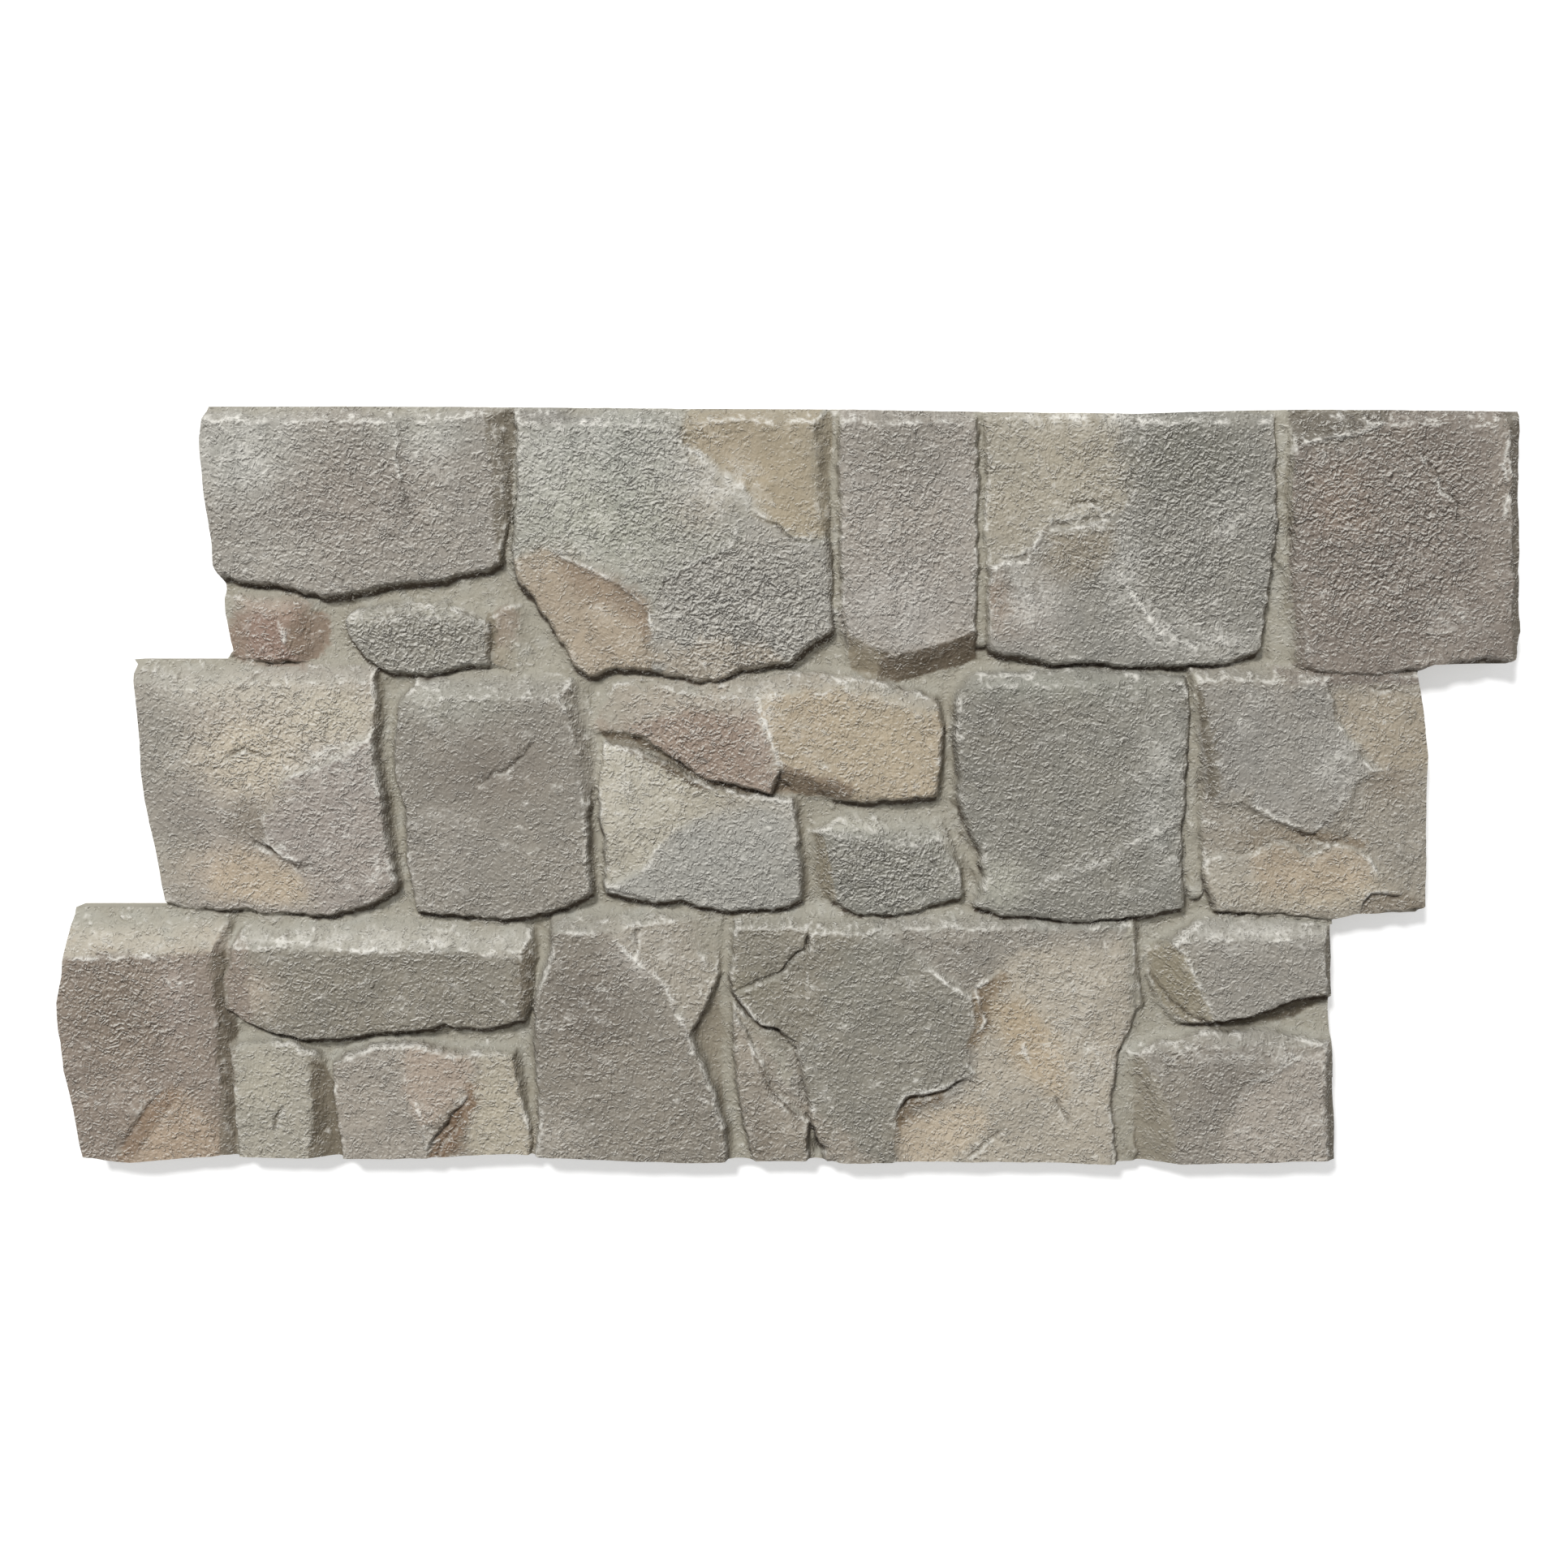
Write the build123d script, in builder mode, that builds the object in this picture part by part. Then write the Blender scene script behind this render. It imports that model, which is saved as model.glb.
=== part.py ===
"""Faux stone wall panel: one moulded sheet of rigid foam with three staggered courses of split stone.

The panel lies on its flat back. +X runs along the courses, +Y towards the top course and +Z out
of the stone faces. Units are millimetres and degrees.
"""

import os
from math import cos, hypot, radians, sin

from build123d import *

# Driving dimensions
course_length = 1066.0
course_height = 209.0
course_step = 67.0
bed_level = 21.0
face_level = 38.0
relief_step = 1.0
stone_draft = 16.0
flake_draft = 45.0
root_depth = 5.0
rim_width = 12.0
rim_drop = 12.0
bead_round = 0.42

course_count = 3
panel_height = course_count * course_height
panel_length = course_length + (course_count - 1) * course_step


class Course:
    """One course: it turns a point of the front view into a place on the panel.

    The stones are drawn on a front view, x to the right and y down, in its pixels. view_corners
    are the course's top left, top right, bottom right and bottom left corners in that view.
    """

    def __init__(self, row, view_corners):
        self.corners = view_corners
        self.left = -panel_length / 2 + (course_count - 1 - row) * course_step
        self.top = panel_height / 2 - row * course_height

    def place(self, point):
        (left_top, top), (right_top, _), (right_bottom, bottom), (left_bottom, _) = self.corners
        down = (point[1] - top) / (bottom - top)
        left = left_top + down * (left_bottom - left_top)
        right = right_top + down * (right_bottom - right_top)
        across = (point[0] - left) / (right - left)
        return (self.left + across * course_length, self.top - down * course_height)

    def places(self, points):
        return [self.place(point) for point in points]


top = Course(0, view_corners=((254, 499), (1876, 500), (1863, 819), (264, 818)))
middle = Course(1, view_corners=((164, 818), (1763, 819), (1751, 1129), (175, 1129)))
bottom = Course(2, view_corners=((76, 1129), (1653, 1129), (1643, 1430), (88, 1430)))


def outline_face(course, points, level):
    """A flat face inside a closed outline, at a height above the back."""
    with BuildSketch(Plane.XY.offset(level)) as sketch:
        with BuildLine():
            Polyline(*course.places(points), close=True)
        make_face()
    return sketch.sketch


def falling_plane(course, start, end, level, fall):
    """A plane through a line of the face that falls away on the left of start to end."""
    x0, y0 = course.place(start)
    x1, y1 = course.place(end)
    length = hypot(x1 - x0, y1 - y0)
    along = ((x1 - x0) / length, (y1 - y0) / length)
    lean = sin(radians(fall))
    normal = (-along[1] * lean, along[0] * lean, cos(radians(fall)))
    return Plane(origin=(x0, y0, level), x_dir=(along[0], along[1], 0), z_dir=normal)


def drafted_block(course, points, level, draft, root, facets=()):
    """A block from a root up to a level, whose sides lean in and whose facets fall away.

    Each facet is a line on the top, from start to end, and the degrees by which the block
    falls away on the line's left.
    """
    face = outline_face(course, points, level)
    with BuildPart() as block:
        extrude(face, amount=root - level, taper=-draft)
        for start, end, fall in facets:
            split(bisect_by=falling_plane(course, start, end, level, fall), keep=Keep.BOTTOM)
    return block.part


def stone(course, points, rise=0.0, facets=(), flakes=()):
    """One stone, rooted in the bed.

    rise is how many relief steps its face stands above the common face level. A flake is a raised
    layer of the same stone: its outline, its own rise and its facets. It stays inside the stone.
    """
    level = face_level + rise * relief_step
    root = bed_level - root_depth
    layers = []
    for flake_points, flake_rise, flake_facets in flakes:
        flake_level = face_level + flake_rise * relief_step
        envelope = drafted_block(course, points, flake_level, stone_draft, root, facets)
        layer = drafted_block(course, flake_points, flake_level, flake_draft, root, flake_facets)
        with BuildPart() as flake:
            add(layer)
            add(envelope, mode=Mode.INTERSECT)
        layers.append(flake.part)
    with BuildPart() as body:
        add(drafted_block(course, points, level, stone_draft, root, facets))
        for layer in layers:
            add(layer)
    return body.part


def mortar_bead(course, start, end, widths, rise):
    """A rounded bead of mortar along a joint, between two points, with its width at each of them."""
    with BuildPart() as bead:
        with BuildSketch(Plane.XY.offset(bed_level - root_depth)):
            for point, width in zip((start, end), widths):
                with Locations(course.place(point)):
                    Circle(width / 2)
            make_hull()
        extrude(amount=root_depth + rise)
        fillet(bead.faces().sort_by(Axis.Z)[-1].edges(), bead_round * min(widths))
    return bead.part


# Outer edge of each course, clockwise from its top left corner
top_edge = [
    (253, 498), (248, 514), (244, 538), (246, 562), (253, 622), (261, 670), (262, 694),
    (272, 718), (273, 754), (283, 802), (271, 816), (271, 842), (1747, 842), (1747, 829),
    (1765, 819), (1860, 818), (1867, 813), (1871, 790), (1876, 778), (1872, 700), (1872, 600),
    (1875, 530), (1873, 505), (1640, 502), (1540, 503), (1400, 508), (1210, 505), (1000, 502),
    (850, 501), (500, 498),
]
middle_edge = [
    (165, 818), (162, 830), (168, 874), (172, 946), (177, 994), (187, 1042), (196, 1090),
    (201, 1114), (196, 1126), (196, 1142), (1645, 1142), (1645, 1134), (1672, 1127),
    (1748, 1126), (1757, 1118), (1758, 1020), (1762, 930), (1756, 880), (1748, 830),
    (1757, 812), (160, 812),
]
bottom_edge = [
    (85, 1131), (80, 1162), (78, 1198), (71, 1234), (74, 1270), (80, 1318), (91, 1366),
    (99, 1414), (103, 1426), (160, 1433), (270, 1426), (360, 1428), (480, 1429), (620, 1423),
    (850, 1433), (1160, 1432), (1450, 1436), (1646, 1430), (1648, 1390), (1644, 1260),
    (1642, 1200), (1644, 1133), (1643, 1122), (85, 1122),
]

# Stones of the top course, from the left
top_corner = stone(top, [
    (240, 490), (240, 560), (250, 622), (258, 690), (270, 706), (280, 704), (297, 713),
    (340, 716), (362, 724), (392, 732), (425, 728), (470, 716), (530, 712), (565, 706),
    (603, 697), (614, 690), (624, 640), (632, 560), (632, 490),
], facets=[((597, 500), (619, 690), 35), ((268, 690), (262, 510), 14), ((492, 500), (510, 700), 3)])
top_rose_chip = stone(top, [
    (268, 735), (300, 730), (345, 731), (385, 745), (402, 765), (398, 795), (378, 812),
    (335, 814), (300, 810), (278, 800), (270, 770),
], rise=-3, facets=[
    ((352, 760), (350, 812), 25), ((350, 812), (352, 760), 7), ((275, 748), (385, 752), 38),
])
top_grey_chip = stone(top, [
    (425, 765), (440, 752), (490, 742), (540, 744), (570, 757), (598, 765), (602, 790),
    (600, 818), (570, 819), (525, 832), (480, 826), (452, 812), (440, 795),
], rise=-1, facets=[((428, 764), (600, 758), 35), ((596, 757), (600, 815), 30)])
top_low_chip = stone(top, [
    (590, 765), (612, 750), (640, 747), (655, 770), (672, 800), (645, 826), (590, 820),
], rise=-7, facets=[((612, 760), (616, 822), 20)])
top_broad = stone(top, [
    (637, 490), (640, 600), (634, 690), (640, 712), (660, 735), (700, 798), (708, 818),
    (725, 830), (757, 822), (800, 822), (850, 834), (880, 836), (915, 823), (975, 812),
    (1000, 790), (1024, 775), (1024, 730), (1020, 665), (1020, 490),
], rise=1.5, facets=[((1000, 500), (1012, 640), 40), ((800, 835), (640, 660), 2)], flakes=[([
    (637, 490), (640, 600), (634, 690), (660, 735), (708, 818), (725, 830), (803, 822),
    (803, 760), (820, 715), (870, 690), (912, 672), (925, 632), (918, 600), (890, 572),
    (850, 545), (842, 520), (842, 490),
], 3.5, [((800, 835), (640, 660), 3)]), ([
    (925, 632), (955, 640), (985, 663), (1018, 665), (1024, 775), (1000, 790), (975, 812),
    (915, 823), (880, 836), (850, 834), (803, 822), (803, 760), (820, 715), (870, 690),
    (912, 672),
], 3, ())])
top_narrow = stone(top, [
    (1035, 490), (1037, 600), (1040, 745), (1047, 790), (1055, 825), (1078, 838),
    (1110, 836), (1140, 826), (1198, 812), (1203, 700), (1204, 490),
], rise=1, facets=[((1200, 780), (1105, 808), 38), ((1105, 808), (1045, 780), 38)])
top_stepped = stone(top, [
    (1216, 490), (1217, 560), (1215, 660), (1219, 700), (1217, 780), (1225, 800),
    (1265, 807), (1300, 816), (1360, 815), (1400, 819), (1440, 816), (1510, 817),
    (1548, 800), (1555, 775), (1563, 700), (1572, 640), (1570, 570), (1572, 490),
], rise=-2, flakes=[([
    (1216, 700), (1240, 695), (1265, 690), (1290, 650), (1330, 650), (1375, 636),
    (1400, 600), (1410, 490), (1572, 490), (1570, 570), (1572, 640), (1563, 700),
    (1555, 775), (1548, 800), (1510, 817), (1440, 816), (1400, 819), (1360, 815),
    (1300, 816), (1265, 807), (1225, 800), (1217, 780),
], 1.5, ())])
top_end = stone(top, [
    (1592, 490), (1592, 560), (1590, 620), (1597, 660), (1588, 690), (1590, 740),
    (1600, 815), (1620, 827), (1700, 830), (1750, 821), (1800, 813), (1830, 808),
    (1880, 815), (1890, 700), (1890, 490),
], rise=1.5, facets=[
    ((1590, 550), (1720, 512), 22), ((1856, 500), (1862, 815), 32), ((1612, 815), (1596, 660), 45),
], flakes=[([
    (1720, 490), (1740, 555), (1755, 570), (1770, 590), (1790, 618), (1797, 630),
    (1800, 645), (1858, 650), (1858, 490),
], 3, [((1850, 610), (1740, 610), 3)])])

# Stones of the middle course
middle_end = stone(middle, [
    (150, 810), (160, 880), (165, 960), (180, 1050), (190, 1100), (201, 1110),
    (240, 1118), (340, 1125), (400, 1125), (450, 1113), (480, 1098), (487, 1088),
    (477, 1030), (464, 950), (457, 915), (463, 870), (460, 810),
], rise=-2.5, facets=[((160, 848), (460, 840), 28), ((330, 1125), (215, 850), 4)], flakes=[([
    (340, 985), (347, 965), (365, 952), (420, 935), (440, 917), (457, 908), (464, 950),
    (475, 1000), (480, 1060), (487, 1088), (478, 1100), (450, 1113), (400, 1122),
    (372, 1100), (365, 1066), (350, 1055), (332, 1035), (326, 1015),
], 2.5, [((480, 1060), (365, 1060), 6)])])
middle_square = stone(middle, [
    (492, 870), (505, 850), (520, 835), (690, 835), (715, 845), (720, 880), (716, 905),
    (728, 912), (730, 960), (722, 1000), (725, 1080), (727, 1100), (700, 1115),
    (665, 1124), (620, 1132), (560, 1125), (515, 1125), (504, 1060), (502, 1000),
    (490, 960), (490, 910),
], rise=0.5, facets=[
    ((500, 862), (690, 858), 32), ((690, 855), (708, 915), 35), ((712, 925), (720, 1000), 42),
])
left_lintel = stone(middle, [
    (735, 897), (745, 870), (760, 845), (850, 838), (925, 838), (940, 865), (952, 900),
    (960, 945), (950, 974), (870, 955), (830, 930), (790, 903), (770, 900),
], rise=3.5, facets=[((745, 866), (925, 860), 32), ((945, 970), (925, 862), 5)])
right_lintel = stone(middle, [
    (925, 838), (1000, 832), (1070, 840), (1110, 850), (1150, 862), (1162, 890),
    (1160, 920), (1152, 978), (1080, 984), (1010, 978), (950, 974), (945, 940), (930, 870),
], rise=3, facets=[
    ((930, 860), (1040, 849), 32), ((1040, 849), (1160, 884), 28), ((1050, 970), (962, 940), 42),
])
middle_sill = stone(middle, [
    (745, 915), (790, 925), (830, 945), (870, 965), (920, 980), (975, 985), (982, 1030),
    (986, 1060), (987, 1110), (950, 1120), (880, 1122), (840, 1108), (800, 1110),
    (750, 1098), (748, 1060), (738, 980),
], rise=-3.5, flakes=[([
    (752, 1093), (790, 1075), (812, 1048), (842, 1020), (880, 1005), (930, 995),
    (965, 1000), (980, 1015), (985, 1060), (987, 1110), (950, 1120), (880, 1122),
    (840, 1108), (800, 1110), (770, 1103),
], 1, [((790, 1070), (985, 1055), 6)])])
middle_wedge = stone(middle, [
    (1000, 1030), (1030, 1015), (1060, 1005), (1095, 1000), (1140, 995), (1155, 1010),
    (1180, 1070), (1184, 1105), (1165, 1110), (1150, 1113), (1130, 1122), (1095, 1127),
    (1060, 1124), (1040, 1118), (1020, 1106), (1010, 1070),
], rise=-1, facets=[
    ((1015, 1030), (1140, 1042), 32), ((1128, 1020), (1182, 1095), 28), ((1028, 1115), (1016, 1030), 45),
])
middle_block = stone(middle, [
    (1182, 860), (1200, 832), (1280, 828), (1400, 828), (1458, 836), (1462, 880),
    (1457, 1000), (1455, 1118), (1400, 1128), (1340, 1134), (1250, 1127), (1205, 1118),
    (1215, 1080), (1210, 1050), (1185, 990), (1180, 900),
], rise=1.5, facets=[((1182, 846), (1460, 840), 32)])
middle_flaked = stone(middle, [
    (1470, 810), (1472, 870), (1488, 970), (1480, 1000), (1485, 1080), (1500, 1121),
    (1580, 1125), (1640, 1133), (1690, 1127), (1765, 1118), (1775, 1000), (1775, 810),
], rise=-2.5, facets=[((1744, 830), (1748, 1120), 12)], flakes=[([
    (1470, 810), (1472, 870), (1488, 970), (1490, 990), (1530, 985), (1565, 1003),
    (1610, 1020), (1640, 1022), (1655, 990), (1670, 960), (1692, 945), (1670, 920),
    (1655, 905), (1635, 855), (1632, 810),
], 2.5, [((1500, 980), (1478, 850), 45)]), ([
    (1478, 1060), (1545, 1052), (1575, 1037), (1615, 1055), (1640, 1040), (1680, 1050),
    (1700, 1080), (1690, 1127), (1640, 1133), (1580, 1125), (1500, 1121),
], -0.5, [((1620, 1090), (1490, 1085), 5)])])

# Stones of the bottom course
bottom_corner = stone(bottom, [
    (60, 1120), (60, 1300), (75, 1380), (90, 1440), (280, 1440), (288, 1400), (284, 1340),
    (280, 1250), (272, 1120),
], rise=0.5, facets=[
    ((70, 1182), (255, 1172), 24), ((261, 1180), (272, 1420), 42), ((255, 1325), (140, 1440), 7),
])
bottom_long = stone(bottom, [
    (278, 1240), (276, 1215), (285, 1180), (297, 1150), (320, 1136), (600, 1136),
    (650, 1150), (655, 1180), (650, 1240), (640, 1256), (590, 1267), (550, 1260),
    (515, 1266), (420, 1276), (370, 1277), (330, 1268), (300, 1252),
], rise=2, facets=[((300, 1168), (641, 1173), 33), ((644, 1160), (639, 1256), 48)])
low_left = stone(bottom, [
    (285, 1292), (320, 1284), (360, 1286), (385, 1298), (403, 1318), (412, 1350),
    (418, 1440), (296, 1440), (291, 1380),
], rise=-1.5, facets=[((377, 1300), (381, 1440), 38)])
low_cleft = stone(bottom, [
    (412, 1312), (425, 1303), (460, 1290), (500, 1287), (560, 1300), (632, 1298),
    (640, 1350), (655, 1405), (652, 1440), (425, 1440), (412, 1340),
], rise=-3, flakes=[([
    (412, 1312), (440, 1297), (460, 1291), (500, 1288), (570, 1303), (575, 1315),
    (574, 1335), (580, 1350), (562, 1368), (545, 1385), (530, 1410), (520, 1440),
    (425, 1440), (412, 1340),
], 1, [((500, 1295), (516, 1380), 5), ((516, 1380), (500, 1295), 3)])])
bottom_dark = stone(bottom, [
    (686, 1120), (680, 1180), (662, 1230), (660, 1280), (665, 1380), (664, 1440),
    (893, 1440), (893, 1395), (880, 1345), (858, 1300), (850, 1275), (865, 1245),
    (883, 1200), (884, 1120),
], rise=1.5, facets=[((745, 1145), (850, 1268), 10)])
shard_upper = stone(bottom, [
    (903, 1222), (903, 1200), (910, 1120), (1005, 1120), (990, 1165), (972, 1185),
    (960, 1202), (940, 1206),
], rise=-1)
shard_middle = stone(bottom, [
    (905, 1226), (940, 1208), (962, 1204), (975, 1186), (993, 1165), (993, 1240),
    (985, 1290), (975, 1287), (960, 1270), (930, 1260),
], rise=-0.5)
shard_low = stone(bottom, [
    (905, 1240), (930, 1262), (960, 1274), (985, 1292), (993, 1330), (1000, 1370),
    (985, 1378), (955, 1345), (925, 1285),
], rise=-8)
shard_left = stone(bottom, [
    (905, 1250), (925, 1285), (955, 1345), (985, 1375), (998, 1382), (993, 1400),
    (995, 1440), (930, 1440), (920, 1400), (905, 1300),
], rise=-3.5)
bottom_wide = stone(bottom, [
    (1003, 1120), (993, 1200), (993, 1240), (985, 1290), (1000, 1370), (1025, 1440),
    (1375, 1440), (1368, 1365), (1380, 1298), (1400, 1250), (1398, 1120),
], rise=-1.5, facets=[((1375, 1180), (1372, 1400), 10)], flakes=[([
    (1005, 1120), (1110, 1120), (1115, 1168), (1140, 1190), (1195, 1230), (1198, 1260),
    (1185, 1295), (1200, 1322), (1165, 1340), (1115, 1352), (1100, 1375), (1100, 1440),
    (1028, 1440), (1000, 1370), (988, 1290), (995, 1240), (993, 1180),
], 2, ()), ([
    (1205, 1213), (1225, 1200), (1300, 1195), (1330, 1260), (1330, 1340), (1240, 1390),
    (1205, 1300), (1212, 1260),
], 0.5, [((1260, 1280), (1290, 1345), 6), ((1320, 1260), (1220, 1250), 4)])])
bottom_cap = stone(bottom, [
    (1418, 1172), (1445, 1160), (1475, 1142), (1500, 1136), (1590, 1138), (1660, 1148),
    (1660, 1222), (1600, 1228), (1545, 1248), (1485, 1260), (1455, 1257), (1435, 1235),
], rise=2, facets=[
    ((1492, 1262), (1452, 1165), 24), ((1450, 1160), (1660, 1157), 30), ((1630, 1150), (1632, 1230), 50),
])
bottom_end = stone(bottom, [
    (1396, 1300), (1430, 1288), (1500, 1273), (1575, 1275), (1660, 1290), (1660, 1440),
    (1404, 1440), (1400, 1360),
], facets=[
    ((1457, 1435), (1412, 1305), 32), ((1632, 1290), (1634, 1440), 45), ((1410, 1296), (1640, 1288), 24),
], flakes=[([
    (1530, 1350), (1550, 1335), (1585, 1315), (1612, 1300), (1630, 1296), (1630, 1440),
    (1500, 1440), (1515, 1390),
], 1.2, [((1628, 1400), (1520, 1400), 4)])])

# Rounded beads of mortar that stand out of the upright joints
top_broad_bead = mortar_bead(top, (1029, 507), (1033, 745), widths=(7, 7.5), rise=11)
top_narrow_bead = mortar_bead(top, (1209, 507), (1211, 790), widths=(7, 10), rise=11)
top_end_bead = mortar_bead(top, (1582, 508), (1582, 690), widths=(14, 11), rise=11)
top_end_wedge = mortar_bead(top, (1583, 680), (1582, 800), widths=(10, 24), rise=6)
middle_bead = mortar_bead(middle, (1469, 842), (1474, 1100), widths=(8, 14), rise=10)
bottom_bead = mortar_bead(bottom, (1397, 1145), (1404, 1240), widths=(8, 13), rise=10)
bottom_wedge = mortar_bead(bottom, (1392, 1305), (1388, 1425), widths=(12, 26), rise=6)

top_stones = [
    top_corner, top_rose_chip, top_grey_chip, top_low_chip, top_broad, top_narrow, top_stepped,
    top_end, top_broad_bead, top_narrow_bead, top_end_bead, top_end_wedge,
]
middle_stones = [
    middle_end, middle_square, left_lintel, right_lintel, middle_sill, middle_wedge, middle_block,
    middle_flaked, middle_bead,
]
bottom_stones = [
    bottom_corner, bottom_long, low_left, low_cleft, bottom_dark, shard_upper, shard_middle,
    shard_low, shard_left, bottom_wide, bottom_cap, bottom_end, bottom_bead, bottom_wedge,
]


def prism(course, edge, level):
    """A course's outline as a block from the back up to a level."""
    with BuildPart() as block:
        extrude(outline_face(course, edge, 0), amount=level)
    return block.part


def rim_cut(course):
    """The wedge that slopes the upper rim of a course down to its top edge."""
    peak = 2 * face_level
    slope = rim_drop / rim_width
    foot = face_level - rim_drop
    with BuildPart() as wedge:
        with BuildSketch(Plane.YZ.offset(-panel_length)):
            with BuildLine():
                Polyline(
                    (course.top, foot),
                    (course.top - (peak - foot) / slope, peak),
                    (course.top + rim_width, peak),
                    (course.top + rim_width, foot - rim_drop),
                    close=True,
                )
            make_face()
        extrude(amount=2 * panel_length)
    return wedge.part


def build_course(course, edge, stones):
    """A course: its bed and its stones, with the upper rim sloped."""
    cut = rim_cut(course)
    with BuildPart() as block:
        add(prism(course, edge, bed_level))
        for piece in stones:
            add(piece)
        add(cut, mode=Mode.SUBTRACT)
    return block.part


plan = [
    (top, top_edge, top_stones),
    (middle, middle_edge, middle_stones),
    (bottom, bottom_edge, bottom_stones),
]
course_parts = [build_course(course, edge, stones) for course, edge, stones in plan]
envelope_height = 2 * face_level
envelope_parts = [prism(course, edge, envelope_height) for course, edge, _ in plan]

with BuildPart() as envelope:
    for envelope_part in envelope_parts:
        add(envelope_part)

with BuildPart() as joined:
    for course_part in course_parts:
        add(course_part)
    add(envelope.part, mode=Mode.INTERSECT)

# The origin is the middle of the back
middle_of_back = joined.part.bounding_box().center()
with BuildPart() as panel:
    add(joined.part.moved(Location((-middle_of_back.X, -middle_of_back.Y, 0))))

panel.part.label = "panel"
os.makedirs("parts", exist_ok=True)
export_step(panel.part, "parts/panel.step")

print("moved by", round(-middle_of_back.X, 2), round(-middle_of_back.Y, 2), "mm")
size = panel.part.bounding_box().size
print("panel", round(size.X, 1), "x", round(size.Y, 1), "x", round(size.Z, 1), "mm")
print("volume", round(panel.part.volume / 1e6, 2), "litres, solids", len(panel.part.solids()))
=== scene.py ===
# %% [markdown]
# A faux stone wall panel
#
# The panel is one sheet of rigid foam, cast in a mould that was taken from real split stone, and
# then sprayed and brushed so that it looks like stone. This lesson dresses the plain CAD solid: it
# turns the solid into a height map, works the height map the way a mould maker works clay, makes
# one mesh of it, and paints that mesh in the order in which the workshop paints the panel.

# %% Load the frame
from math import cos, degrees, hypot, radians, sin

import bpy
import numpy as np
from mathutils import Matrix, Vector
from mathutils.geometry import delaunay_2d_cdt


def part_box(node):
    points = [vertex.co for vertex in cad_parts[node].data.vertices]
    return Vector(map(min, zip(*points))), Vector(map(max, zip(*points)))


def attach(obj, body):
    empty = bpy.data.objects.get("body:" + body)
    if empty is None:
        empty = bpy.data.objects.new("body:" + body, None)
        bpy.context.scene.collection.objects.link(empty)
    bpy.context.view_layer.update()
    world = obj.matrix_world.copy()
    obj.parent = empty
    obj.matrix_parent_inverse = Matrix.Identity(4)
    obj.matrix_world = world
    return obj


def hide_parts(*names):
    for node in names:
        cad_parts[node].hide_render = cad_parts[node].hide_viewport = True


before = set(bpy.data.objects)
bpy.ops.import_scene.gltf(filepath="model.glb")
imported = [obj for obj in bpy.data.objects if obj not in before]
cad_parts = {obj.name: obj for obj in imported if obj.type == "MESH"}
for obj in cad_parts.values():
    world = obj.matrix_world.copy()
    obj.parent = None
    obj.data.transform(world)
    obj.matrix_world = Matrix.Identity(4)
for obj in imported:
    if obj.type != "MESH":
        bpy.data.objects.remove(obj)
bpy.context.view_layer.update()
low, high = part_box("panel")
length, width, thickness = high - low
print(f"panel {length * 1000:.0f} x {width * 1000:.0f} x {thickness * 1000:.0f} mm")

# %% [markdown]
# The camera comes first, because the stones' features are placed by where they show in the
# photograph. The photographer stood over the panel a little towards its top edge, so the camera is
# a step off the vertical. It is kept as a few numbers, and both the Blender camera and the
# function that turns a picture point into a place on the panel are made from them.

# %% The camera
PICTURE = 1932.0
FOCAL_PIXELS = 2180.6
SENSOR = 0.036
DISTANCE = 1.5
TILT = radians(5.67)
aim = Vector((0.0014, 0.0041, 0.0))
toward_camera = Vector((0.0, sin(TILT), cos(TILT)))
eye = aim + toward_camera * DISTANCE

camera_data = bpy.data.cameras.new("camera")
camera_data.sensor_width = SENSOR * 1000
camera_data.lens = FOCAL_PIXELS / PICTURE * SENSOR * 1000
camera_data.clip_start = 0.05
camera_data.clip_end = 30.0
camera = bpy.data.objects.new("camera", camera_data)
camera.location = eye
camera.rotation_euler = (-TILT, 0.0, 0.0)
bpy.context.scene.collection.objects.link(camera)
bpy.context.scene.camera = camera
print(f"lens {camera_data.lens:.1f} mm from {DISTANCE} m, tilted {degrees(TILT):.1f} degrees")

FACE_LEVEL = 0.038


def spot(point, level=FACE_LEVEL):
    """The place on the panel, at a height above its back, that shows at a picture point."""
    across = (point[0] - PICTURE / 2) / FOCAL_PIXELS
    up = (PICTURE / 2 - point[1]) / FOCAL_PIXELS
    ray_y = up * cos(TILT) - sin(TILT)
    ray_z = -up * sin(TILT) - cos(TILT)
    reach = (level - eye.z) / ray_z
    return eye.x + across * reach, eye.y + ray_y * reach


# %% [markdown]
# The CAD solid has the stones, their steps and their joints as flat facets. A height map is the
# easiest thing to weather: it is a plain grid of heights over the panel, so every tool that works
# on pictures, such as a blur, works on it. Each triangle of the solid that faces up is drawn into
# the grid, and the highest one wins.

# %% Height map of the solid
CELL = 0.001
MARGIN = 20
ROUNDING = 1e-6
EMPTY = 0.001
columns = int(length / CELL) + 2 * MARGIN + 1
rows = int(width / CELL) + 2 * MARGIN + 1
origin_x = low.x - MARGIN * CELL
origin_y = low.y - MARGIN * CELL


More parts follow.
